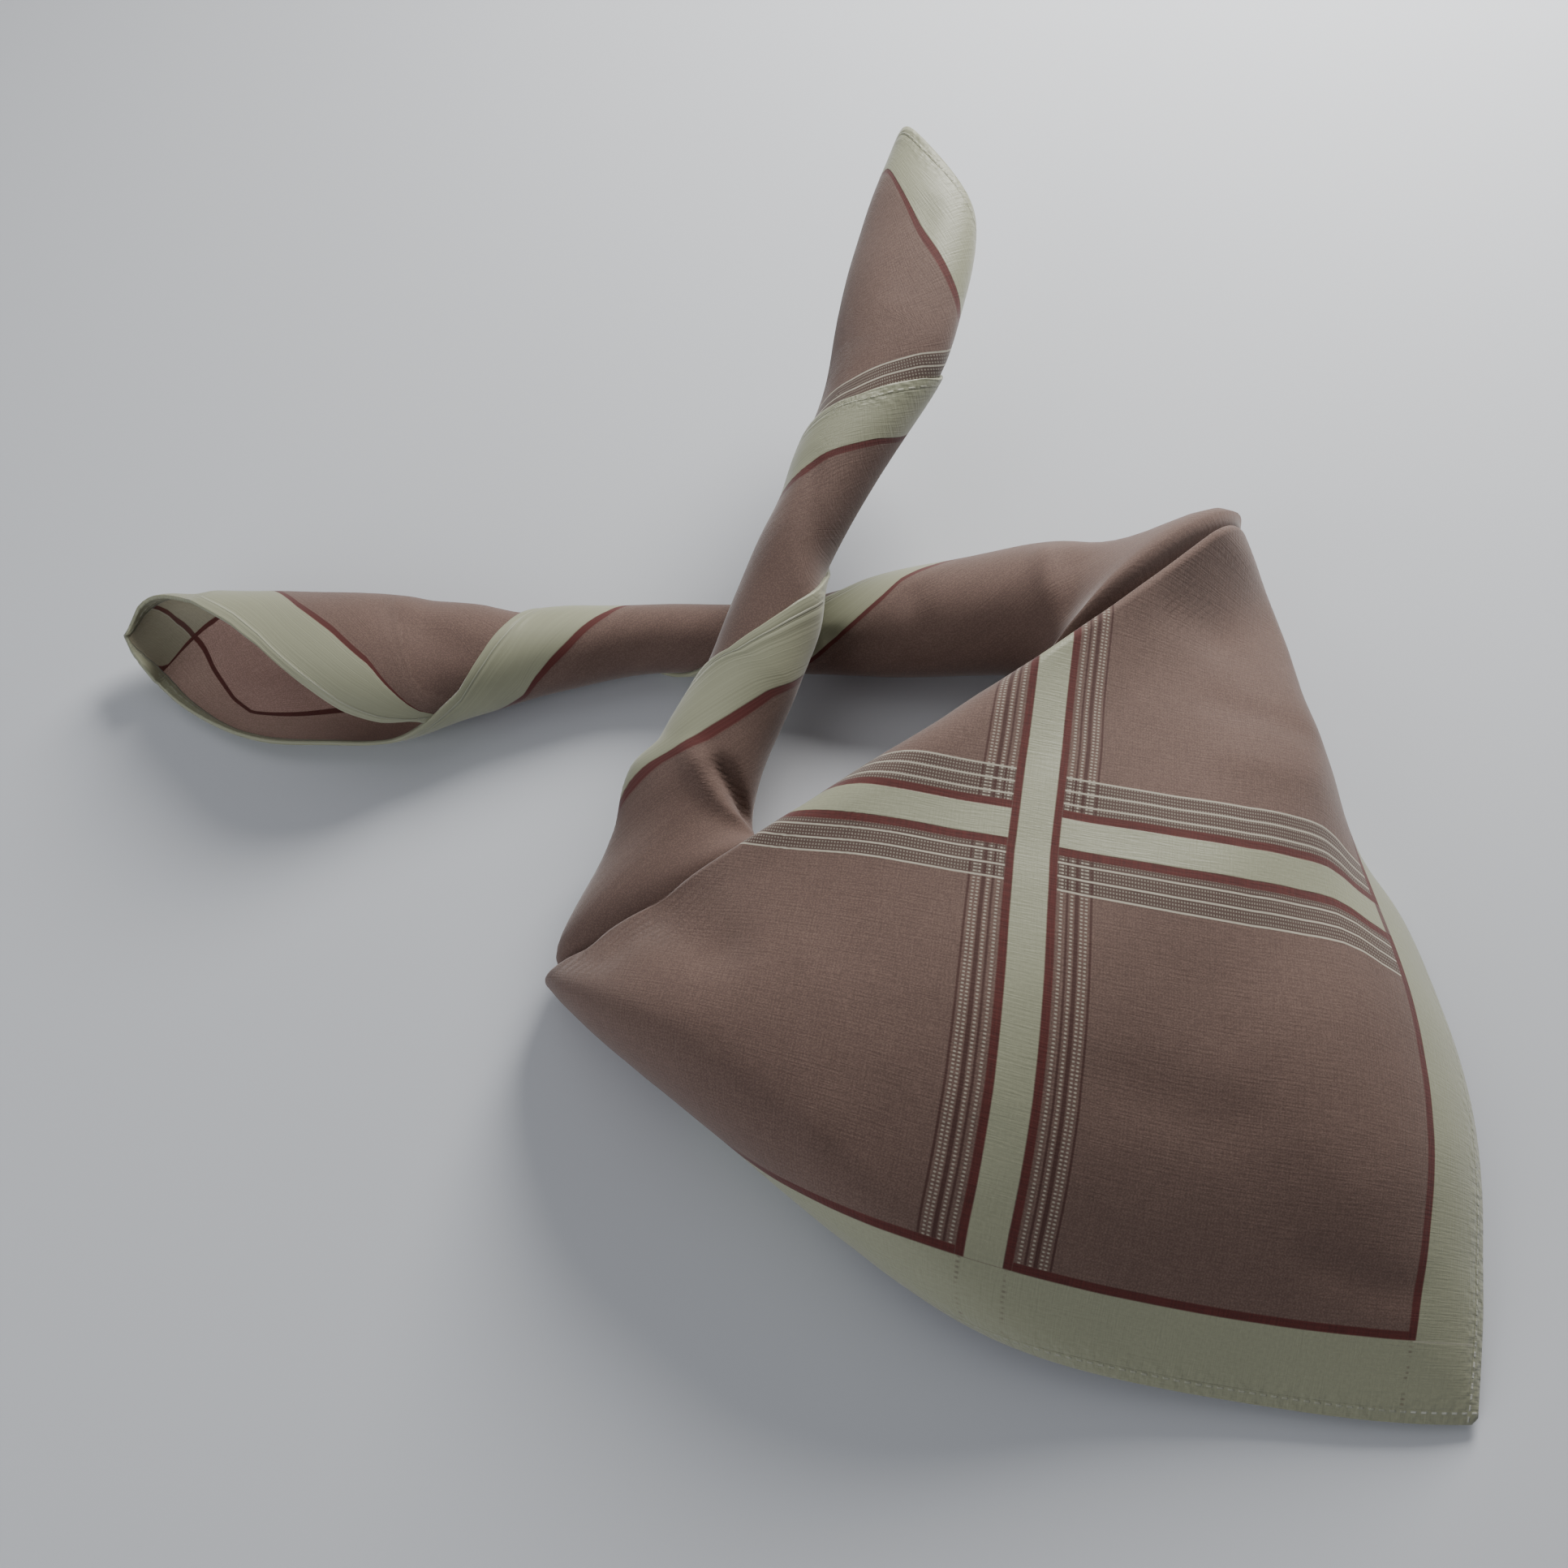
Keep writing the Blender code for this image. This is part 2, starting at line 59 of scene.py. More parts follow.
# How the creases of a tail are placed round it: each degree counts as so much cloth
MM_PER_DEGREE = 0.18
# The middles of the two woven stripes, and where the hem's thickness fades, from the edge
UPRIGHT_STRIPE = 84.0
LEVEL_STRIPE = 86.0
HEM_FADE = (2.0, 2.8)
# Where a crease comes on and fades, as shares of its length
CREASE_STARTS = (-0.15, 0.25)
CREASE_ENDS = (0.75, 1.15)
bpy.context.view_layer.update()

# A section of the panel lies at its reach from the free corner, through its middle x, y, z. It
# heads across the panel (degrees in plan) and turns as it goes (degrees in 100 mm). It is
# tilted, its sides slope down (degrees), and they turn under at their edges (mm from its middle).
PANEL_KEYS = (
    "reach", "x", "y", "z", "heading", "turn", "tilt",
    "left_slope", "right_slope", "left_edge", "right_edge",
)
PANEL_SECTIONS = (
    (0, 107, -131.5, 1.3, 32, 0, 9, 14, 34, 21, 41),
    (22, 98, -116.5, 10.3, 28, 20, 14, 11, 52, 29, 50),
    (48, 88, -97, 20.4, 27.5, 20, 13, 5, 67, 45, 57),
    (76, 76, -73, 29.8, 30, 29, 2, 8, 55, 53, 72),
    (104, 63, -47, 34.7, 27, 22, -5, 16, 15, 60, 59),
    (130, 51, -23, 34.4, 25, 18, -1, 12, 30, 69, 81),
    (147, 43.3, -7.5, 35.6, 24, 15, 1, 31, 11, 84, 70),
)
# A ring of a tail lies at its station, round its middle x, y, z. Its width points across
# (degrees in plan) and leans up (degrees), and its underside stays above its floor.
TAIL_KEYS = (
    "station", "x", "y", "z", "half_width", "half_height", "across", "lean", "floor",
)
RIGHT_TAIL = (
    (0, -119.2, 59.4, 11, 2.3, 2, -84, 0, 0),
    (3, -115.5, 59.9, 11.5, 6.7, 5, -92, 0, 0),
    (9, -110, 57.5, 11, 11.9, 8, -122, 0, 0),
    (16, -104.4, 53.8, 11, 14.8, 9.8, -119, 0, 0),
    (23, -98, 50.5, 10.9, 16.2, 10.9, -113, 0, 0),
    (33, -88.8, 46.9, 11, 17.5, 11.5, -106, 0, 0),
    (48, -74.7, 43.3, 11.5, 17.3, 12, -99, 0, 0),
    (63, -59.7, 41, 11, 16.6, 11.5, -93, 0, 0),
    (74, -48.6, 41.3, 10, 13.9, 10.5, -90, 0, 0),
    (81, -41.5, 41, 9.5, 12.3, 10, -92, 0, 0),
    (89, -33.6, 40.5, 8.7, 9.8, 9.2, -91, 0, 0),
    (99, -24.1, 40.7, 8.1, 9, 8.6, -90, 0, 0),
    (108, -14.4, 40.4, 7.7, 8, 8.2, -95, 0, 0),
    (118, -4.9, 39.4, 7.5, 7.6, 8, -98, 0, 0),
    (127, 3.9, 37.7, 7.5, 7.7, 8, -99, 0, 0),
    (139, 15.6, 35.8, 7.5, 7.7, 8, -98, 0, 0),
    (153, 29.7, 33.9, 8.1, 9.2, 8.6, -97, 0, 0),
    (166, 42.4, 32.6, 9.3, 11.5, 9.8, -98, 0, 0),
    (186, 62, 29.8, 11.5, 12.8, 12, -103, 0, 0),
    (199, 75, 26, 13.5, 15, 14, -114, 2, 0),
    (207, 83, 22.5, 15.5, 22, 16, -135, 4, 0),
    (213, 90.3, 21, 16.6, 28.5, 16.4, -149, 6, 1.7),
    (216, 87, 14.8, 14.7, 19, 12.5, -149, 6, 1.7),
    (221, 89.6, 10.4, 14.5, 18.5, 12, -149, 6, 1.7),
)
LEFT_TAIL = (
    (0, 66.8, 128.6, 46, 6.4, 4.2, -15, 0, 0),
    (10, 64.9, 118.4, 44.7, 9.6, 5.3, -15, 0, 0),
    (20, 62.5, 109, 43.2, 11.8, 6.2, -16, 0, 0),
    (30, 59, 99.4, 41.5, 12.6, 7, -18, 0, 0),
    (41, 54.9, 89.2, 39.7, 12.8, 7.75, -21, 0, 0),
    (53, 50.3, 78.5, 37.7, 12.4, 8.4, -24, 0, 0),
    (64.5, 44.6, 68.9, 35.6, 10.4, 8.8, -30, 0, 0),
    (74.5, 39, 60.8, 33.8, 9.2, 9, -37, 0, 0),
    (84.5, 33.3, 52.8, 31.9, 8.7, 9.2, -38, 0, 0),
    (93.5, 28.6, 45.5, 29.8, 7.9, 9.9, -38, 0, 0),
    (102, 23.7, 38.6, 27.5, 8, 10.6, -36, 0, 0),
    (111.5, 19.7, 30.4, 25.2, 9.2, 10.8, -32, 0, 0),
    (120, 15.5, 23, 23.3, 9.5, 10.6, -31, 0, 0),
    (130, 10.7, 15.1, 21, 9.8, 10.4, -31, 0, 0),
    (139, 5.2, 7.9, 18.5, 10.4, 10.6, -30, 0, 0),
    (148.5, 0.2, 0.4, 15.8, 11.3, 11, -30, 0, 0),
    (156, -3, -6.2, 12.6, 12.2, 12, -24, 0, 0),
    (165, -4.8, -15, 11, 16, 12, -4, 8, 0),
    (174, -10.4, -24.6, 11.4, 23.3, 9.6, 14, 19, 1.7),
    (177, -9.5, -27.4, 11, 18.5, 8.6, 14, 21, 1.7),
    (182, -8.2, -32.6, 11, 18, 8.4, 14, 21, 1.7),
)
# Where each sheet's two edges lie on its tail: the hem on top, and the edge that the next turn
# covers, as angles (degrees from the width's direction, turning over the top) at each station.
RIGHT_HEM = (
    (0, 212), (0.6, 295), (1.5, 326), (3, 338), (4.5, 327), (6, 317), (9, 307), (12, 306),
    (16, 309), (21, 313), (29, 320), (37, 325), (44, 328), (50, 331), (55, 334), (61, 340),
    (68, 363), (76, 390), (82, 426), (87, 460), (91, 491),
    (110, 620), (128, 732), (137, 776), (146, 813), (158, 851), (185, 960), (221, 1080),
)
RIGHT_RIM = (
    (0, 204), (0.6, 198), (3, 161), (6, 141), (12, 127), (21, 112), (29, 100), (37, 84),
    (44, 65), (50, 48), (55, 33), (61, 20), (67.7, 12), (75, -5), (90, -40),
)
LEFT_HEM = (
    (47, 295), (55, 350), (60, 391), (65, 421), (70, 448), (78, 510), (91, 630), (102, 717),
    (114, 772), (122, 803), (128, 830), (131, 861), (146, 960), (161, 1050), (182, 1160),
)
# The red line behind each hem, unwound in the same way
RIGHT_RED = (
    (0, 120), (3, 160), (5, 199), (6.5, 221), (9, 237), (16.2, 261), (23.5, 281),
    (28.5, 289), (40, 285), (50, 280), (60, 284), (70, 298), (80, 322), (87.8, 351),
    (90.9, 377), (95.1, 400), (99.4, 420), (103.2, 443), (107.1, 467), (110.9, 500),
    (128, 610), (140, 690), (148.7, 737), (152.1, 758), (155.6, 776), (159.8, 794),
    (164.5, 813), (168.3, 832), (171.8, 842), (175.6, 851), (221, 1010),
)
RIM_RED = (
    (0, 320), (6, 300), (7.5, 286), (8, 260), (9, 240), (10.5, 221), (13, 208), (20, 185),
    (33.5, 153), (43.5, 121), (52.8, 96), (60.5, 70), (64.7, 44), (68.6, 18), (75, 0), (90, -30),
)
LEFT_RED = (
    (47, 215), (56, 262), (62, 305), (69.5, 356), (75, 394), (80.2, 423), (84.9, 451),
    (89.6, 476), (93, 501), (108, 600), (118, 680), (124.4, 719), (132.5, 762), (140.6, 789),
    (146, 809), (149.7, 828), (152.3, 848), (156, 868), (182, 1050),
)
# The slanted rim of the left tail, and the red line behind it, by angle
TIP_LINES = (
    (-65, 22.7, 44.0), (-5, 21.2, 43.4), (20, 17.0, 40.8), (40, 12.8, 37.9), (64, 7.3, 32.9),
    (89, 2.3, 26.1), (112, -1.0, 17.5), (150, -2.3, 9.1), (200, 4.0, 20.0), (295, 22.7, 44.0),
)


class Held(Enum):
    """How a sheet of cloth is held."""

    FOLDED = "folded"


class Side(Enum):
    """Which way a half of the panel runs out from its middle."""

    LEFT = -1
    RIGHT = 1


def spline(stations: np.ndarray, rows: np.ndarray, at: np.ndarray) -> np.ndarray:
    """Reads a natural cubic spline through rows of values.

    Args:
        stations: the rising places of the rows.
        rows: one row of values for each place.
        at: the places to read.

    Returns:
        One row of values for each place read.
    """
    x, y = np.asarray(stations, float), np.asarray(rows, float)
    at = np.atleast_1d(np.asarray(at, float))
    steps, count = np.diff(x), len(x)
    matrix, right = np.eye(count), np.zeros(y.shape)
    for i in range(1, count - 1):
        matrix[i, i - 1], matrix[i, i + 1] = steps[i - 1], steps[i]
        matrix[i, i] = 2 * (steps[i - 1] + steps[i])
        right[i] = 6 * ((y[i + 1] - y[i]) / steps[i] - (y[i] - y[i - 1]) / steps[i - 1])
    bend = np.linalg.solve(matrix, right)
    k = np.clip(np.searchsorted(x, at, side="right") - 1, 0, count - 2)
    shape = (-1,) + (1,) * (y.ndim - 1)
    width = steps[k].reshape(shape)
    a = (x[k + 1] - at).reshape(shape) / width
    b = 1 - a
    curve = ((a**3 - a) * bend[k] + (b**3 - b) * bend[k + 1]) * width**2 / 6
    return a * y[k] + b * y[k + 1] + curve


def read(keys: tuple, rows: tuple, at: np.ndarray) -> dict[str, np.ndarray]:
    """Reads a table between its rows.

    Args:
        keys: the names of the table's columns, with the place first.
        rows: the table's rows.
        at: the places to read.

    Returns:
        One array for each named column after the first.
    """
    table = np.array(rows, float)
    values = spline(table[:, 0], table[:, 1:], at)
    return {key: values[:, i] for i, key in enumerate(keys[1:])}


def follow(rows: tuple, at: np.ndarray) -> np.ndarray:
    """Reads a table of places and values in straight steps."""
    return np.interp(at, *np.array(rows, float).T)


def ramp(value: np.ndarray, low: float, high: float) -> np.ndarray:
    """Gives 0 below low, 1 above high, and a smooth rise between."""
    t = np.clip((value - low) / (high - low), 0.0, 1.0)
    return t * t * (3 - 2 * t)


def scaled(colour: tuple, share: float) -> tuple:
    """Gives a colour made darker or lighter by a share."""
    return tuple(part * share for part in colour)


def thing_from(name: str, form: bmesh.types.BMesh, finishes: list) -> bpy.types.Object:
    """Turns a form into an object in the scene.

    Args:
        name: the object's name.
        form: its form, which is freed.
        finishes: its materials.

    Returns:
        The new object.
    """
    mesh = bpy.data.meshes.new(name)
    form.to_mesh(mesh)
    form.free()
    for finish in finishes:
        mesh.materials.append(finish)
    thing = bpy.data.objects.new(name, mesh)
    bpy.context.scene.collection.objects.link(thing)
    return thing


@dataclass(frozen=True)
class Weave:
    """The colours of the cloth's yarns and how its bands lie.

    Widths are in millimetres. Each line beside a stripe is given by its distance from the
    stripe's red edge, and half its own width.
    """

    name: str
    ground: tuple = (0.172, 0.109, 0.087)
    shade: tuple = (0.102, 0.060, 0.048)
    satin: tuple = (0.325, 0.328, 0.226)
    red: tuple = (0.075, 0.011, 0.009)
    dark: tuple = (0.055, 0.018, 0.014)
    pale: tuple = (0.50, 0.465, 0.375)
    thread: tuple = (0.62, 0.62, 0.55)
    border: float = 13.3
    red_line: float = 1.4
    upright: float = UPRIGHT_STRIPE
    level: float = LEVEL_STRIPE
    satin_half: float = 2.95
    upright_red: float = 1.35
    level_red: float = 1.6
    border_share: float = 1.0
    stripe_share: float = 1.0
    red_runs_on: bool = False
    dark_lines: tuple = ((1.75, 0.2), (3.3, 0.34), (5.65, 0.2))
    dot_lines: tuple = ((0.8, 0.22), (2.5, 0.2), (4.1, 0.2), (4.85, 0.2))
    pale_lines: tuple = ((1.3, 0.17), (3.9, 0.17), (6.5, 0.17))
    hem: float = 2.3
    hem_relief: float = 0.07
    hem_shadow: float = 0.12
    stitch_in: float = 1.85
    stitch_pitch: float = 1.8
    roughness: float = 0.82
    satin_gloss: float = 0.34
    sheen: float = 0.25


@dataclass(frozen=True)
class Detail:
    """How finely the yarns are drawn, the same on both sides of the cloth.

    Sizes are in millimetres. Cells are the sizes of a noise along the two directions of the
    cloth, with its finer layers. A span is the stretch of a noise that counts, a share is how
    much of a colour shows, a tone makes a colour darker or lighter, and soft is half the width
    of an edge.
    """

    even_span: tuple = (0.3, 0.7)
    slub_cells: tuple = (0.33, 5.0, 2.0)
    pick_cells: tuple = (5.0, 0.38, 2.0)
    cloud_cells: tuple = (26.0, 20.0, 3.0)
    heather_share: float = 0.62
    cloud_share: float = 0.22
    end_pitch: float = 0.51
    pick_pitch: float = 0.66
    speckle_share: float = 0.3
    grain_size: float = 0.26
    grain_span: tuple = (0.34, 0.66)
    grain_light_tone: float = 1.75
    grain_light_share: float = 0.17
    grain_deep_share: float = 0.42
    line_soft: float = 0.1
    pale_soft: float = 0.07
    dot_length: float = 0.42
    zone_pitch: float = 0.52
    zone_dark_tone: float = 0.72
    zone_pale_tone: float = 0.52
    zone_share: float = 0.75
    line_share: float = 0.85
    dot_share: float = 0.62
    satin_cells: tuple = (0.6, 0.6, 2.0)
    satin_span: tuple = (0.25, 0.75)
    satin_tone: float = 0.88
    satin_relief: float = 0.06
    speck_past_border: float = 0.6
    speck_past_stripe: float = 0.7
    speck_half: float = 0.3
    speck_soft: float = 0.2
    speck_pitch: float = 0.85
    speck_length: float = 0.45
    speck_cells: tuple = (1.4, 2.2, 1.0)
    speck_span: tuple = (0.42, 0.6)
    speck_share: float = 0.5
    seam_in: float = 0.15
    seam_half: float = 0.16
    seam_past_border: float = 0.4
    seam_share: float = 0.4
    red_tones: tuple = (0.75, 1.5)
    red_share: float = 0.93
    hem_soft: float = 0.08
    hem_edge_half: float = 0.14
    hem_shadow_tone: float = 0.45
    hem_dip: float = 0.4
    stitch_half: float = 0.17
    stitch_soft: float = 0.06
    stitch_share: float = 0.2
    stitch_corner_share: float = 0.55
    stitch_relief: float = 0.12
    pucker_cells: tuple = (1.7, 1.7, 1.0)
    pucker_reach: tuple = (4.0, 1.5)
    pucker_relief: float = 0.16
    heather_relief: float = 0.06
    relief: float = 0.9
    specular: float = 0.4
    sheen_roughness: float = 0.45


class Graph:
    """A material's nodes, with short calls for the sums that a woven pattern needs."""

    def __init__(self, name: str) -> None:
        """Starts a material that holds one Principled shader.

        Args:
            name: the material's name.
        """
        self.material = bpy.data.materials.new(name)
        self.material.use_nodes = True
        self.nodes = self.material.node_tree.nodes
        self.links = self.material.node_tree.links
        self.shader = self.nodes["Principled BSDF"]

    def put(self, socket: bpy.types.NodeSocket, value: object) -> None:
        """Links a socket to another one, or sets its number.

        Args:
            socket: the input to feed.
            value: a socket, a number or a colour.
        """
        if isinstance(value, bpy.types.NodeSocket):
            self.links.new(value, socket)
        else:
            socket.default_value = value

    def sum(self, kind: str, *values: object, clamp: bool = False) -> bpy.types.NodeSocket:
        """Adds a Math node.

        Args:
            kind: what the node does.
            values: sockets or numbers for its inputs.
            clamp: whether its result is held between 0 and 1.

        Returns:
            The node's result.
        """
        node = self.nodes.new("ShaderNodeMath")
        node.operation = kind
        node.use_clamp = clamp
        for i, value in enumerate(values):
            self.put(node.inputs[i], value)
        return node.outputs[0]

    def add(self, *values: object) -> object:
        """Adds values up."""
        return reduce(lambda first, second: self.sum("ADD", first, second), values)

    def mix(self, share: object, first: object, second: object) -> bpy.types.NodeSocket:
        """Mixes two colours.

        Args:
            share: how much of the second colour shows.
            first: a colour or a socket.
            second: a colour or a socket.

        Returns:
            The mixed colour.
        """
        node = self.nodes.new("ShaderNodeMix")
        node.data_type = "RGBA"
        self.put(node.inputs["Factor"], share)
        for slot, value in ((6, first), (7, second)):
            if isinstance(value, tuple):
                value = (*value, 1)
            self.put(node.inputs[slot], value)
        return node.outputs[2]

    def cloth_place(self) -> tuple:
        """Reads the piece's place on the flat cloth.

        Returns:
            The distances from the side hem and the bottom hem, in millimetres.
        """
        uv = self.nodes.new("ShaderNodeUVMap")
        uv.uv_map = "cloth"
        parts = self.nodes.new("ShaderNodeSeparateXYZ")
        self.links.new(uv.outputs[0], parts.inputs[0])
        u = self.sum("MULTIPLY", parts.outputs[0], SIDE)
        v = self.sum("MULTIPLY", parts.outputs[1], SIDE)
        return u, v

    def near(self, value: object, middle: float, half: float, soft: float = 0.12) -> object:
        """Gives 1 within half of the middle and 0 beyond, with a soft edge."""
        away = self.sum("ABSOLUTE", self.sum("SUBTRACT", value, middle))
        return self.below(away, half, soft)

    def below(self, value: object, limit: float, soft: float = 0.12) -> object:
        """Gives 1 below the limit and 0 above it, with a soft edge."""
        gap = self.sum("SUBTRACT", limit, value)
        return self.sum("ADD", self.sum("DIVIDE", gap, 2 * soft), 0.5, clamp=True)

    def both(self, *values: object) -> object:
        """Multiplies masks."""
        return reduce(lambda first, second: self.sum("MULTIPLY", first, second), values)

    def either(self, *values: object) -> object:
        """Takes the greatest of some masks."""
        return reduce(lambda first, second: self.sum("MAXIMUM", first, second), values)

    def lines(self, value: object, rows: tuple, soft: float) -> object:
        """Gives 1 on each of some lines, from rows of middle and half width."""
        return self.either(*(self.near(value, middle, half, soft) for middle, half in rows))

    def invert(self, value: object) -> object:
        """Turns a mask round."""
        return self.sum("SUBTRACT", 1.0, value)

    def dashes(self, value: object, period: float, share: float) -> object:
        """Gives 1 over a share of each period."""
        part = self.sum("FRACT", self.sum("DIVIDE", value, period))
        return self.below(self.sum("ABSOLUTE", self.sum("SUBTRACT", part, 0.5)), share / 2, 0.06)

    def noise(self, u: object, v: object, cells: tuple) -> object:
        """Gives noise over the flat cloth.

        Args:
            u: the distance from the side hem.
            v: the distance from the bottom hem.
            cells: the sizes of its cells along these, and how many finer layers are added.

        Returns:
            The noise, about 0.5.
        """
        along, across, layers = cells
        place = self.nodes.new("ShaderNodeCombineXYZ")
        self.put(place.inputs[0], self.sum("DIVIDE", u, along))
        self.put(place.inputs[1], self.sum("DIVIDE", v, across))
        node = self.nodes.new("ShaderNodeTexNoise")
        node.inputs["Scale"].default_value = 1.0
        node.inputs["Detail"].default_value = layers
        self.links.new(place.outputs[0], node.inputs["Vector"])
        return node.outputs["Fac"]

    def grain(self, size: float) -> object:
        """Gives even noise by the piece's own points, so that it never streaks.

        Args:
            size: the size of its cells in millimetres.

        Returns:
            The noise, about 0.5.
        """
        place = self.nodes.new("ShaderNodeTexCoord")
        node = self.nodes.new("ShaderNodeTexNoise")
        node.inputs["Scale"].default_value = 1 / (size * MM)
        node.inputs["Detail"].default_value = 0.0
        self.links.new(place.outputs["Object"], node.inputs["Vector"])
        return node.outputs["Fac"]

    def stretch(self, value: object, low: float, high: float) -> object:
        """Maps a value so that low gives 0 and high gives 1, held between them."""
        return self.sum("DIVIDE", self.sum("SUBTRACT", value, low), high - low, clamp=True)


class ClothFinish:
    """The woven cotton: plain chambray ground, satin bands, red and pale lines, and its hems."""

    def __init__(self, weave: Weave) -> None:
        """Keeps the weave and builds its material.

        Args:
            weave: the yarns and bands of this side of the cloth.
        """
        self.weave, self.detail = weave, Detail()
        self.graph = Graph(weave.name)
        self.u, self.v = self.graph.cloth_place()
        self.masks = self.yarn_masks()
        slub, pick = self.uneven(self.detail.slub_cells), self.uneven(self.detail.pick_cells)
        self.heather = self.graph.sum("MULTIPLY", self.graph.add(slub, pick), 0.5)
        self.material = self.build()

    def uneven(self, cells: tuple) -> object:
        """Gives noise over the flat cloth, stretched to run from 0 to 1."""
        values = self.graph.noise(self.u, self.v, cells)
        return self.graph.stretch(values, *self.detail.even_span)

    def yarn_masks(self) -> dict:
        """Works out where each kind of yarn shows.

        Returns:
            A mask for each kind of yarn, by name.
        """
        w, d, g, u, v = self.weave, self.detail, self.graph, self.u, self.v
        off_u = g.sum("ABSOLUTE", g.sum("SUBTRACT", u, w.upright))
        off_v = g.sum("ABSOLUTE", g.sum("SUBTRACT", v, w.level))
        edge_u = w.satin_half + w.upright_red
        edge_v = w.satin_half + w.level_red
        border_u, border_v = g.below(u, w.border), g.below(v, w.border)
        satin_u, satin_v = g.below(off_u, w.satin_half), g.below(off_v, w.satin_half)
        reach_u, reach_v = g.below(off_u, edge_u), g.below(off_v, edge_v)
        line_u = g.near(u, w.border + w.red_line / 2, w.red_line / 2)
        line_v = g.near(v, w.border + w.red_line / 2, w.red_line / 2)
        if not w.red_runs_on:
            line_u = g.both(line_u, g.invert(border_v))
            line_v = g.both(line_v, g.invert(reach_u), g.invert(border_u))
        ground = g.both(
            g.invert(g.below(u, w.border + w.red_line)),
            g.invert(g.below(v, w.border + w.red_line)),
        )
        beside_u = g.both(ground, g.invert(reach_u), g.invert(reach_v))
        beside_v = g.both(ground, g.invert(reach_u))
        over_u = g.sum("SUBTRACT", off_u, edge_u)
        over_v = g.sum("SUBTRACT", off_v, edge_v)
        return {
            "satin": g.either(
                g.both(border_v, w.stripe_share),
                g.both(border_u, w.border_share),
                g.both(satin_u, g.invert(border_v)),
                g.both(satin_v, g.invert(reach_u)),
            ),
            "red": g.either(
                g.both(reach_u, g.invert(satin_u), g.invert(border_v)),
                g.both(reach_v, g.invert(satin_v), g.invert(reach_u), g.invert(border_u)),
                line_u,
                line_v,
            ),
            "dark": g.both(beside_u, g.lines(over_u, w.dark_lines, d.line_soft)),
            "dots": g.both(
                beside_u,
                g.lines(over_u, w.dot_lines, d.line_soft),
                g.dashes(v, d.pick_pitch, d.dot_length),
            ),
            "lines": g.both(beside_v, g.lines(over_v, w.pale_lines, d.pale_soft)),
            "zone": g.both(
                beside_v,
                g.below(over_v, w.pale_lines[-1][0]),
                g.sum("GREATER_THAN", over_v, 0.0),
            ),
        }

    def ground_colour(self) -> object:
        """Mixes the chambray ground with the fine lines beside the stripes.

        Returns:
            The colour of the cloth before its satin and red yarns.
        """
        w, d, g, masks = self.weave, self.detail, self.graph, self.masks
        speckle, specks = (
            g.both(g.dashes(self.u, pitch, 0.5), g.dashes(self.v, d.pick_pitch, 0.5))
            for pitch in (d.end_pitch, d.zone_pitch)
        )
        cloud = g.both(self.uneven(d.cloud_cells), d.cloud_share)
        tone = g.add(g.both(self.heather, d.heather_share), cloud)
        tone = g.sum("ADD", tone, g.both(speckle, d.speckle_share), clamp=True)
        colour = g.mix(tone, w.shade, w.ground)
        grain = g.stretch(g.grain(d.grain_size), *d.grain_span)
        light, deep = (g.stretch(side, 0.5, 1.0) for side in (grain, g.invert(grain)))
        bright = scaled(w.ground, d.grain_light_tone)
        colour = g.mix(g.both(light, d.grain_light_share), colour, bright)
        colour = g.mix(g.both(deep, d.grain_deep_share), colour, w.shade)

        zone = g.mix(specks, scaled(w.shade, d.zone_dark_tone), scaled(w.pale, d.zone_pale_tone))
        colour = g.mix(g.both(masks["zone"], d.zone_share), colour, zone)
        colour = g.mix(g.both(masks["dark"], d.line_share), colour, w.dark)
        colour = g.mix(g.both(masks["dots"], d.dot_share), colour, w.pale)
        return g.mix(g.both(masks["lines"], d.line_share), colour, w.pale)

    def border_specks(self) -> object:
        """Finds the red yarns that show through the satin of the bottom border.

        Returns:
            A mask of them.
        """
        w, d, g, u, v = self.weave, self.detail, self.graph, self.u, self.v
        floats = g.stretch(g.noise(u, v, d.speck_cells), *d.speck_span)
        past_stripe = w.satin_half + d.speck_past_stripe
        edges = (w.border + d.speck_past_border, w.upright + past_stripe, w.upright - past_stripe)
        columns = g.either(*(g.near(u, edge, d.speck_half, d.speck_soft) for edge in edges))
        dashes = g.dashes(v, d.speck_pitch, d.speck_length)
        return g.both(columns, g.below(v, w.border), dashes, floats)

    def build(self) -> bpy.types.Material:
        """Builds the material.

        Returns:
            The material.
        """
        w, d, g, u, v = self.weave, self.detail, self.graph, self.u, self.v
        satin_grain = g.stretch(g.noise(u, v, d.satin_cells), *d.satin_span)
        satin = g.mix(satin_grain, scaled(w.satin, d.satin_tone), w.satin)
        colour = g.mix(self.masks["satin"], self.ground_colour(), satin)
        colour = g.mix(g.both(self.border_specks(), d.speck_share), colour, w.shade)
        seam = g.near(v, w.border - d.seam_in, d.seam_half, d.hem_soft)
        seam = g.both(seam, g.below(u, w.border + d.seam_past_border))
        colour = g.mix(g.both(seam, d.seam_share), colour, w.pale)
        red = g.mix(self.heather, *(scaled(w.red, tone) for tone in d.red_tones))
        colour = g.mix(g.both(self.masks["red"], d.red_share), colour, red)

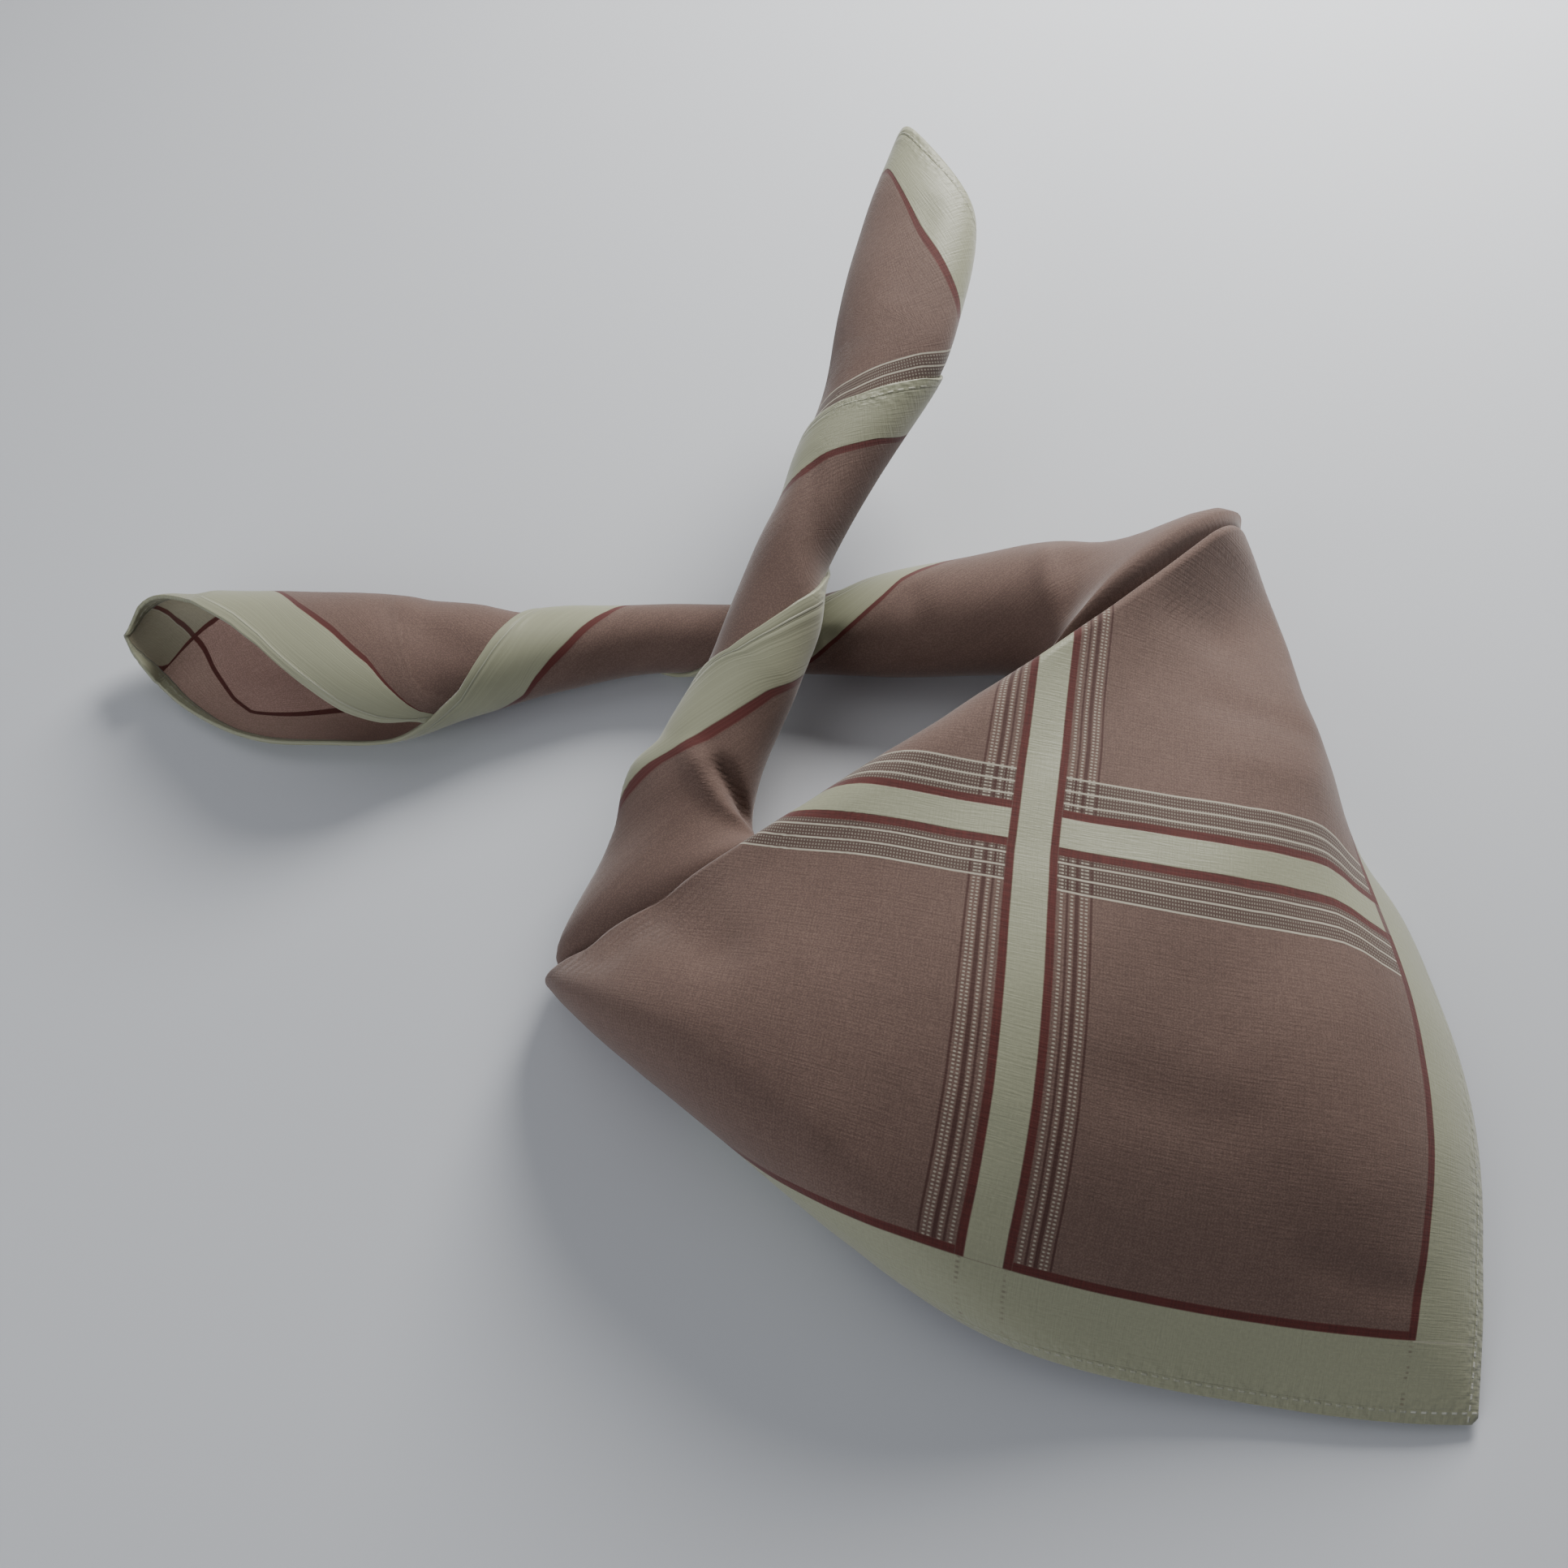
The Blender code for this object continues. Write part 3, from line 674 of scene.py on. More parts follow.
        hem = g.either(*(g.below(place, w.hem, d.hem_soft) for place in (u, v)))
        edge = g.either(*(g.near(place, w.hem, d.hem_edge_half, d.hem_soft) for place in (u, v)))
        row_u, row_v = (g.near(place, w.stitch_in, d.stitch_half, d.stitch_soft) for place in (u, v))
        dash_u, dash_v = (g.dashes(place, w.stitch_pitch, 0.5) for place in (u, v))
        stitch = g.either(g.both(row_u, dash_v), g.both(row_v, dash_u))
        colour = g.mix(hem, colour, satin)
        shadow = scaled(w.satin, d.hem_shadow_tone)
        colour = g.mix(g.both(edge, w.hem_shadow), colour, shadow)
        corner = g.both(g.below(u, w.border), g.below(v, w.border))
        shown = g.add(g.both(corner, d.stitch_corner_share), d.stitch_share)
        colour = g.mix(g.both(stitch, shown), colour, w.thread)
        g.links.new(colour, g.shader.inputs["Base Color"])

        rough = g.sum("SUBTRACT", w.roughness, g.both(self.masks["satin"], w.satin_gloss))
        g.links.new(rough, g.shader.inputs["Roughness"])
        g.shader.inputs["Specular IOR Level"].default_value = d.specular
        g.shader.inputs["Sheen Weight"].default_value = w.sheen
        g.shader.inputs["Sheen Roughness"].default_value = d.sheen_roughness
        self.relief(hem, edge, stitch)
        return g.material

    def relief(self, hem: object, edge: object, stitch: object) -> None:
        """Gives the surface its fine relief.

        Args:
            hem: the mask of the hem.
            edge: the mask of the hem's inner edge.
            stitch: the mask of the stitches.
        """
        w, d, g = self.weave, self.detail, self.graph
        beside_hem = g.either(*(g.below(place, *d.pucker_reach) for place in (self.u, self.v)))
        height = g.add(
            g.both(self.heather, d.heather_relief),
            g.both(hem, w.hem_relief),
            g.both(stitch, d.stitch_relief),
            g.both(edge, -d.hem_dip * w.hem_relief),
            g.both(self.uneven(d.pucker_cells), beside_hem, d.pucker_relief),
            g.both(self.masks["satin"], d.satin_relief),
        )
        bump = g.nodes.new("ShaderNodeBump")
        bump.inputs["Strength"].default_value = d.relief
        bump.inputs["Distance"].default_value = MM
        g.links.new(height, bump.inputs["Height"])
        g.links.new(bump.outputs[0], g.shader.inputs["Normal"])


def hemmed(edge: np.ndarray) -> np.ndarray:
    """Gives 1 on the hem and 0 on plain cloth, by the distance from the cloth's edge."""
    return 1 - ramp(edge, *HEM_FADE)


def press(places: np.ndarray, creases: tuple) -> np.ndarray:
    """Works out how far each place moves out for a table of creases.

    Args:
        places: places on the flat cloth.
        creases: rows of start u, start v, end u, end v, half width and height.

    Returns:
        The move at each place, in millimetres.
    """
    moved = np.zeros(places.shape[:2])
    for u1, v1, u2, v2, half, height in creases:
        start, run = np.array([u1, v1]), np.array([u2 - u1, v2 - v1], float)
        length = np.linalg.norm(run)
        share = ((places - start) @ run) / length**2
        nearest = start + np.clip(share, 0, 1)[:, :, None] * run
        away = np.linalg.norm(places - nearest, axis=2)
        fade = ramp(share, *CREASE_STARTS) * (1 - ramp(share, *CREASE_ENDS))
        moved += height * np.exp(-((away / half) ** 2)) * fade
    return moved


def ripple(points: np.ndarray, height: float, size: float) -> np.ndarray:
    """Works out a smooth uneven move at each point.

    Args:
        points: the points.
        height: the height of the waves.
        size: their size.

    Returns:
        The move at each point.
    """
    flat = points.reshape(-1, 3) / size
    values = [noise.noise(Vector(p)) for p in flat]
    return height * np.array(values).reshape(points.shape[:2])


@dataclass
class Sheet:
    """One sheet of the cloth, as rows of points with their places on the flat cloth.

    The hems hold 1 on each hemmed point and 0 on plain cloth. All sizes are in millimetres.
    """

    name: str
    points: np.ndarray
    places: np.ndarray
    hems: np.ndarray
    thickness: float = 0.45
    hem_thickness: float = 0.85

    def outward(self) -> np.ndarray:
        """Works out the direction that each point faces.

        Returns:
            One unit vector for each point.
        """
        across = np.gradient(self.points, axis=1)
        onward = np.gradient(self.points, axis=0)
        facing = np.cross(across, onward)
        return facing / np.maximum(np.linalg.norm(facing, axis=2), 1e-9)[:, :, None]

    def wear(
        self, spots: np.ndarray, creases: tuple, ripples: tuple, clear: tuple, way: int = 1
    ) -> None:
        """Presses creases and the soft unevenness of worn cotton into the sheet.

        Args:
            spots: where each point lies, in the terms of the creases.
            creases: rows of start u, start v, end u, end v, half width and height.
            ripples: rows of a wave's height and size.
            clear: the height below which nothing moves, and the rise to the full move.
            way: 1 where the points face outward, and -1 where they face inward.
        """
        moved = press(spots, creases) + sum(ripple(self.points, *row) for row in ripples)
        low, rise = clear
        share = np.clip((self.points[:, :, 2] - low) / rise, 0, 1)
        self.points = self.points + way * self.outward() * (moved * share)[:, :, None]

    def flat_area(self) -> float:
        """Measures the sheet's surface.

        Returns:
            Its area in square metres.
        """
        p = self.points * MM
        a, b, c, d = p[:-1, :-1], p[1:, :-1], p[1:, 1:], p[:-1, 1:]
        first = np.linalg.norm(np.cross(b - a, c - a), axis=2).sum() / 2
        second = np.linalg.norm(np.cross(c - a, d - a), axis=2).sum() / 2
        return float(first + second)

    def skin(self) -> bmesh.types.BMesh:
        """Makes the sheet's faces, with its places as a UV map.

        Returns:
            Their form.
        """
        rows, columns = self.points.shape[:2]
        form = bmesh.new()
        verts = [
            form.verts.new([(c - s) * MM for c, s in zip(p, SHIFT)])
            for p in self.points.reshape(-1, 3)
        ]
        layer = form.loops.layers.uv.new("cloth")
        flat = self.places.reshape(-1, 2) / SIDE
        for i in range(rows - 1):
            for j in range(columns - 1):
                a, b = i * columns + j, i * columns + j + 1
                ring = (a, b, b + columns, a + columns)
                face = form.faces.new([verts[k] for k in ring])
                face.smooth = True
                for loop, k in zip(face.loops, ring):
                    loop[layer].uv = flat[k]
        return form

    def build(self, finishes: list[bpy.types.Material]) -> bpy.types.Object:
        """Makes the sheet an object with its right and wrong sides finished.

        Args:
            finishes: the materials of the right side and the wrong side.

        Returns:
            The new object.
        """
        piece = thing_from(self.name, self.skin(), finishes)
        group = piece.vertex_groups.new(name="hem")
        for k, share in enumerate(self.hems.reshape(-1)):
            group.add([k], float(share), "REPLACE")
        wall = piece.modifiers.new("wall", "SOLIDIFY")
        wall.thickness = self.hem_thickness * MM
        wall.offset = -1.0
        wall.vertex_group = "hem"
        wall.thickness_vertex_group = self.thickness / self.hem_thickness
        wall.material_offset = 1
        wall.material_offset_rim = 0
        return piece


@dataclass
class Panel:
    """The front panel: the free triangle, its sides turned under and its top fold rounded.

    Lengths are in millimetres. The first row keeps a little away from the free corner. The lip
    is the rounded fold, tight at its ends and wide over a span of its middle, and is given by
    radius, turn in degrees and pull forward. The apron is the cloth that hangs behind it. The
    smoothing comes on and fades between rows counted from the corner and back from the fold.
    The upright and level tables hold, for places along each woven stripe, how far the cloth
    within reach of it is moved to keep it straight. Creases, ripples and clear are read as
    Sheet.wear says.
    """

    rows: int = 120
    columns: int = 190
    half_steps: int = 260
    row_power: float = 1.1
    keep: float = 0.8
    edge_on_floor: float = 1.3
    edge_turned: float = 3.4
    turn_ramp: float = 10.0
    flap: float = 8.0
    curl_density: float = 3.0
    lip_rows: int = 10
    lip_tight: tuple = (1.6, 60.0, 1.2)
    lip_wide: tuple = (8.0, 110.0, 5.5)
    lip_over: float = 30.0
    lip_span: tuple = (-22.0, 8.0, 18.0)
    apron_rows: int = 8
    apron_inset: float = 7.0
    apron_least: float = 0.12
    apron_rise: tuple = (1.0, 4.0)
    apron_heart: tuple = (60.0, -50.0)
    smoothing: int = 60
    smooth_from: tuple = (4, 26)
    smooth_until: tuple = (34, 3)
    reach: float = 30.0
    upright: tuple = (
        (10, 0.0), (19, 0.1), (27, 0.35), (40, 0.6), (50, 0.5), (60, 0.3), (69, 0.0), (75, -0.15),
        (81, -0.4), (88, -0.4), (98, -0.3), (104, -0.15), (112, -0.2),
    )
    level: tuple = (
        (15, 0.0), (19, -0.3), (23, -1.3), (27.2, -1.7), (31.4, -1.4), (35.4, -1.0), (39.2, -0.8),
        (42.8, -0.6), (46.2, -0.3), (52.6, -0.1), (60, 0.1), (67, 0.1), (75.4, 0.2), (84, -0.1),
        (90, -0.4), (97, -0.5), (103, -0.9), (108, -1.1), (114, -1.0), (125, 0.0),
    )
    creases: tuple = (
        (147, 62, 127, 50, 5.0, -1.6),
        (163, 52, 148, 47, 3.2, -0.7),
        (115, 57, 110, 18, 2.5, 0.5),
        (55, 121, 23, 115, 4.0, -0.6),
        (52, 108, 27, 106, 3.5, 0.4),
        (36, 24.5, 14, 20, 3.0, -0.5),
        (65, 139, 46, 136, 5.0, -0.7),
        (75, 45, 44, 43, 6.0, -0.5),
    )
    ripples: tuple = ((0.35, 22.0), (0.12, 8.0))
    clear: tuple = (1.0, 6.0)

    def half(self, reach: float, row: dict, side: Side) -> tuple:
        """Runs one half of a section from its middle out to the side.

        Args:
            reach: the section's distance from the free corner.
            row: the section's sizes by name.
            side: which half it is.

        Returns:
            The distances from the middle, the points, and where the cloth starts to turn under.
        """
        name, sign = side.name.lower(), side.value
        edge = min(row[name + "_edge"], reach)
        slope = math.radians(row[name + "_slope"])
        tilt = -sign * math.radians(row["tilt"])
        fall = slope + tilt
        near = np.linspace(0, edge, self.half_steps)
        down = slope * near / edge + tilt
        drops = (np.sin(down[1:]) + np.sin(down[:-1])) / 2 * np.diff(near)
        height = row["z"] - drops.sum()
        rise = ramp(reach - edge, 0, self.turn_ramp)
        wanted = self.edge_on_floor + (self.edge_turned - self.edge_on_floor) * rise
        lift = max(0.0, wanted - height)
        height += lift
        curl = height * (math.pi - fall) / (1 + math.cos(fall))
        end = min(reach, edge + curl + self.flap)
        far = np.linspace(edge, end, self.half_steps) if end > edge + 1e-6 else np.array([])
        along = np.concatenate([near, far[1:]])
        turn = np.clip((far[1:] - edge) / curl, 0, 1)
        down = np.concatenate([down, fall + (math.pi - fall) * turn])
        heading = math.radians(row["heading"]) + math.radians(row["turn"]) * sign * along / 100
        run = np.stack(
            [
                sign * np.cos(heading) * np.cos(down),
                sign * np.sin(heading) * np.cos(down),
                -np.sin(down),
            ],
            axis=1,
        )
        mean = (run[1:] + run[:-1]) / 2 * np.diff(along)[:, None]
        points = np.concatenate([np.zeros((1, 3)), np.cumsum(mean, axis=0)])
        points += [row["x"], row["y"], row["z"]]
        points[:, 2] += lift * np.minimum(along / edge, 1) ** 2
        return along, points, edge

    def section(self, reach: float, row: dict, columns: int) -> tuple:
        """Works out one section, with its points closer together where the cloth turns under.

        Args:
            reach: the section's distance from the free corner.
            row: the section's sizes by name.
            columns: how many points it gets.

        Returns:
            The points' distances from the middle, and the points.
        """
        left_along, left, left_edge = self.half(reach, row, Side.LEFT)
        right_along, right, right_edge = self.half(reach, row, Side.RIGHT)
        along = np.concatenate([-left_along[:0:-1], right_along])
        points = np.concatenate([left[:0:-1], right])
        turned = (along < -left_edge) | (along > right_edge)
        weight = np.where(turned, self.curl_density, 1.0)
        total = np.concatenate([[0], np.cumsum((weight[1:] + weight[:-1]) / 2 * np.diff(along))])
        chosen = np.interp(np.linspace(0, total[-1], columns), total, along)
        spots = np.stack([np.interp(chosen, along, points[:, i]) for i in range(3)], axis=1)
        return chosen, spots

    def sections(self, reaches: np.ndarray, columns: int) -> tuple:
        """Works out a row of sections.

        Args:
            reaches: their distances from the free corner.
            columns: how many points each of them gets.

        Returns:
            For each section, the points' distances from the middle, and the points.
        """
        table = read(PANEL_KEYS, PANEL_SECTIONS, reaches)
        alongs, grid = [], []
        for i, reach in enumerate(reaches):
            row = {key: values[i] for key, values in table.items()}
            along, points = self.section(reach, row, columns)
            alongs.append(along)
            grid.append(points)
        return alongs, grid

    def lip(self, before: np.ndarray, fold: np.ndarray, along: np.ndarray) -> tuple:
        """Rounds the panel over at its top fold.

        Args:
            before: points just short of the fold.
            fold: the fold's points.
            along: their distances from the fold's middle.

        Returns:
            How far the fold is pulled forward, the rows beyond it, and the lengths they add.
        """
        across = np.gradient(fold, axis=0)
        across /= np.linalg.norm(across, axis=1)[:, None]
        onward = fold - before
        onward -= np.sum(onward * across, axis=1)[:, None] * across
        onward /= np.linalg.norm(onward, axis=1)[:, None]
        outward = np.cross(across, onward)
        low, high, soft = self.lip_span
        wide = ramp(along, low - soft, low) * (1 - ramp(along, high, high + soft))
        radius, turn, pull = (
            tight + (loose - tight) * wide for tight, loose in zip(self.lip_tight, self.lip_wide)
        )
        moved = -pull[:, None] * onward
        rows, lengths = [], []
        for i in range(1, self.lip_rows + 1):
            angle = np.radians(turn * i / self.lip_rows)
            bend = np.sin(angle)[:, None] * onward - (1 - np.cos(angle))[:, None] * outward
            rows.append(fold + moved + radius[:, None] * bend)
            lengths.append(radius * angle)
        return moved, rows, lengths

    def apron(self, last: np.ndarray, length: np.ndarray) -> tuple:
        """Hangs the cloth behind the fold down to the floor.

        Args:
            last: the last row of the lip.
            length: how far the lip reaches beyond the fold.

        Returns:
            The rows that hang, and how far they reach.
        """
        inward = (np.array([*self.apron_heart, 0.0]) - last) * [1.0, 1.0, 0.0]
        inward /= np.linalg.norm(inward, axis=1)[:, None]
        drop = np.maximum(last[:, 2] - self.edge_on_floor, 0.0)
        high = ramp(last[:, 2], *self.apron_rise)
        inset = self.apron_inset * (self.apron_least + (1 - self.apron_least) * high)
        rows, lengths = [], []
        for i in range(1, self.apron_rows + 1):
            share = i / self.apron_rows
            hung = last + share * inset[:, None] * inward
            hung[:, 2] = last[:, 2] - share * drop
            rows.append(hung)
            lengths.append(length + share * np.hypot(drop, inset))
        return rows, lengths

    def smooth(self, *layers: np.ndarray) -> None:
        """Evens out the sheet from row to row, but not near its corner and its fold.

        Args:
            layers: arrays over the sheet's rows and columns, which are changed.
        """
        row = np.arange(1, len(layers[0]) - 1)
        begins = ramp(row, *self.smooth_from)
        ends = ramp(row, *(self.rows - before for before in self.smooth_until))
        soft = (begins * (1 - ends))[:, None, None]
        for _ in range(self.smoothing):
            for layer in layers:
                layer[1:-1] += (layer[:-2] - 2 * layer[1:-1] + layer[2:]) * soft / 4

    def straighten(self, places: np.ndarray) -> np.ndarray:
        """Keeps the two woven stripes as straight as in the photograph.

        Args:
            places: places on the flat cloth.

        Returns:
            The places with small moves.
        """
        u, v = places[:, :, 0], places[:, :, 1]
        near_upright = np.exp(-(((u - UPRIGHT_STRIPE) / self.reach) ** 2))
        near_level = np.exp(-(((v - LEVEL_STRIPE) / self.reach) ** 2))
        moves = [follow(self.upright, v) * near_upright, follow(self.level, u) * near_level]
        return places + np.stack(moves, axis=2)

    def shape(self) -> Sheet:
        """Works out the panel's sheet.

        Returns:
            The sheet.
        """
        last = PANEL_SECTIONS[-1][0]
        reaches = self.keep + (last - self.keep) * np.linspace(0, 1, self.rows) ** self.row_power
        alongs, grid = self.sections(reaches, self.columns)
        (spread,), (spots,) = self.sections(np.array([last - 1.0]), self.columns * 3)
        along = alongs[-1]
        before = np.stack([np.interp(along, spread, spots[:, i]) for i in range(3)], axis=1)
        moved, over, lengths = self.lip(before, grid[-1], along)
        hung, hung_lengths = self.apron(over[-1], lengths[-1])
        over, lengths = over + hung, lengths + hung_lengths

        short = np.linalg.norm(moved, axis=1)
        q = []
        for i, reach in enumerate(reaches):
            share = ramp(reach, last - self.lip_over, last)
            pulled = [np.interp(alongs[i], along, moved[:, k]) for k in range(3)]
            grid[i] = grid[i] + np.stack(pulled, axis=1) * share
            q.append(reach - np.interp(alongs[i], along, short) * share)
        q = np.array(q + [last - short + length for length in lengths])
        p = np.array(alongs + [along] * len(over))
        places = np.stack([(q - p), (q + p)], axis=2) / math.sqrt(2)
        points = np.array(grid + over)
        self.smooth(points, places)
        places = self.straighten(places)
        sheet = Sheet("panel_cloth", points, places, hemmed(places.min(axis=2)))
        sheet.wear(places, self.creases, self.ripples, self.clear)
        return sheet


@dataclass
class Tail:
    """A rolled tail as one sheet that winds down it, each turn hemmed over the turn before.

    A place on a tail is its station, which is the distance along the tail's middle in
    millimetres, and its angle in degrees, which runs on from turn to turn. The hem and the red
    line behind it are rows of these. The marks are the angles between which the way round is
    measured. Creases, ripples and clear are read as Sheet.wear says.
    """

    name: str
    sections: tuple
    hem: tuple
    red: tuple
    start: float
    end: float
    rows: int = 190
    columns: int = 84
    row_power: float = 1.0
    crowding: float = 0.085
    step: float = 0.9
    under_step: float = 0.3
    overlap: float = 14.0
    border: float = 14.0
    plain: float = 55.0
    facing: int = 1
    creases: tuple = ()
    ripples: tuple = ((0.3, 18.0),)
    clear: tuple = (0.0, 5.0)
    marks: tuple = (-500.0, 1600.0)
    mark_step: float = 4.0
    line_points: int = 360
    gather_rows: int = 7
    gather_from: float = 15.0
    gather_hole: float = 0.03
    gather_length: float = 9.0

    def base(self) -> np.ndarray:
        """Gives the station at which each row starts."""
        share = np.linspace(0, 1, self.rows) ** self.row_power
        return self.start + (self.end - self.start) * share

    def spread(self) -> np.ndarray:
        """Gives the share across the strip at each column, closer together at its edges."""
        t = np.linspace(0, 1, self.columns)
        return t - self.crowding * np.sin(2 * math.pi * t)

    def rings(self, stations: np.ndarray, angles: np.ndarray, drops: np.ndarray) -> np.ndarray:
        """Works out points on the tail.

        Args:
            stations: their stations.
            angles: their angles.
            drops: how far each of them is moved in, towards the tail's middle.

        Returns:
            The points.
        """
        flat = stations.reshape(-1)
        s = {k: v.reshape(stations.shape) for k, v in read(TAIL_KEYS, self.sections, flat).items()}
        across, lean = np.radians(s["across"]), np.radians(s["lean"])
        width = np.stack(
            [np.cos(across) * np.cos(lean), np.sin(across) * np.cos(lean), np.sin(lean)], axis=2
        )
        height = np.stack(
            [-np.cos(across) * np.sin(lean), -np.sin(across) * np.sin(lean), np.cos(lean)], axis=2
        )
        turn = np.radians(angles)
        points = np.stack([s["x"], s["y"], s["z"]], axis=2)
        points = points + ((s["half_width"] - drops) * np.cos(turn))[:, :, None] * width
        points = points + ((s["half_height"] - drops) * np.sin(turn))[:, :, None] * height
        lowest = np.maximum(s["floor"], 0.0) + np.minimum(drops, self.under_step)
        points[:, :, 2] = np.maximum(points[:, :, 2], lowest)
        return points

    def arcs(self, stations: np.ndarray) -> tuple:
        """Measures the way round the tail.

        Args:
            stations: the stations to measure at.

        Returns:
            A row of angles, and the length round each ring up to each of them.
        """
        angles = np.arange(*self.marks, self.mark_step)
        s = read(TAIL_KEYS, self.sections, stations)
        turn = np.radians(angles)[None, :]
        wide, high = s["half_width"][:, None], s["half_height"][:, None]
        pace = np.hypot(wide * np.sin(turn), high * np.cos(turn))
        return angles, np.cumsum(pace, axis=1) * math.radians(self.mark_step)

    def distance(self, stations: np.ndarray, angles: np.ndarray, line: tuple) -> np.ndarray:
        """Measures, on the cloth, how far each point lies from a line.

        Args:
            stations: the points' stations.
            angles: their angles.
            line: rows of station and angle.

        Returns:
            The distances.
        """
        s = np.linspace(line[0][0], line[-1][0], self.line_points)
        a = follow(line, s)
        marks, lengths = self.arcs(stations.mean(axis=1))
        near = np.zeros(stations.shape)
        for i in range(len(stations)):
            mine = np.interp(angles[i], marks, lengths[i])
            line_at = np.interp(a, marks, lengths[i])
            gap = np.hypot(stations[i][:, None] - s[None, :], mine[:, None] - line_at[None, :])
            near[i] = gap.min(axis=1)
        return near

    def wear(self, sheet: Sheet, stations: np.ndarray, angles: np.ndarray) -> None:
        """Presses the tail's creases into its sheet.

        Args:
            sheet: the sheet, which is changed.
            stations: its points' stations.
            angles: their angles.
        """
        way_round = ((angles + 180.0) % 360.0 - 180.0) * MM_PER_DEGREE
        spots = np.stack([stations, way_round], axis=2)
        sheet.wear(spots, self.creases, self.ripples, self.clear, self.facing)

    def gather(self, sheet: Sheet) -> Sheet:
        """Closes the sheet's last ring with cloth drawn in to its middle, under the panel.

        Args:
            sheet: the sheet with its end open.

        Returns:
            The sheet with its end closed.
        """
        ring, place = sheet.points[-1], sheet.places[-1]
        middle = (ring.min(axis=0) + ring.max(axis=0)) / 2
        turns = np.radians(np.linspace(self.gather_from, 90.0, self.gather_rows))
        sizes = self.gather_hole + (1 - self.gather_hole) * np.cos(turns)
        points = [middle + (ring - middle) * size for size in sizes]
        places = [place + [0.0, self.gather_length * math.sin(turn)] for turn in turns]
        return Sheet(
            self.name,
            np.concatenate([sheet.points, points]),
            np.concatenate([sheet.places, places]),
            np.concatenate([sheet.hems, np.zeros((self.gather_rows, self.columns))]),
        )


@dataclass
class RightTail(Tail):
    """The tail that lies on the floor and opens in a pointed mouth.

    Each pair of numbers is the stations between which something comes on or fades.
    """

    row_power: float = 1.12
    rim: tuple = RIGHT_RIM
    rim_red: tuple = RIM_RED
    turns_under: tuple = (66.0, 72.0)
    rim_fades: tuple = (69.0, 75.0)
    step_fades: tuple = (150.0, 185.0)
    creases: tuple = (
        (147, 17, 149, 6, 1.6, -0.8),
        (152, 11, 158, 2, 1.8, -0.8),
        (170, 18, 172, 5, 3.0, -0.5),
        (194, 22, 197, 10, 1.8, 0.8),
        (200, 20, 203, 9, 3.0, -0.9),
        (60, 22, 82, 11, 3.0, -0.5),
    )

    def shape(self) -> Sheet:
        """Works out the tail's sheet.

        Returns:
            The sheet, from the mouth to the end under the panel.
        """
        base, share = self.base(), self.spread()
        hem, rim, red, rim_red = (
            follow(line, base)[:, None] for line in (self.hem, self.rim, self.red, self.rim_red)
        )
        under = ramp(base, *self.turns_under)[:, None]
        far = rim * (1 - under) + (hem - 360.0 - self.overlap) * under
        angles = hem + (far - hem) * share
        stations = np.repeat(base[:, None], self.columns, axis=1)
        fade = 1 - ramp(base, *self.step_fades)[:, None]
        points = self.rings(stations, angles, self.step * (under * fade) * share)
        v = self.border * (hem - angles) / (hem - red)
        u = self.border * (angles - rim) / (rim_red - rim)
        plain = ramp(base, *self.rim_fades)[:, None]
        u = (1 - plain) * u + plain * self.plain
        places = np.clip(np.stack([u, v], axis=2), 0.0, self.plain)
        sheet = Sheet(self.name, points, places, hemmed(places.min(axis=2)))
        self.wear(sheet, stations, angles)
        return self.gather(sheet)


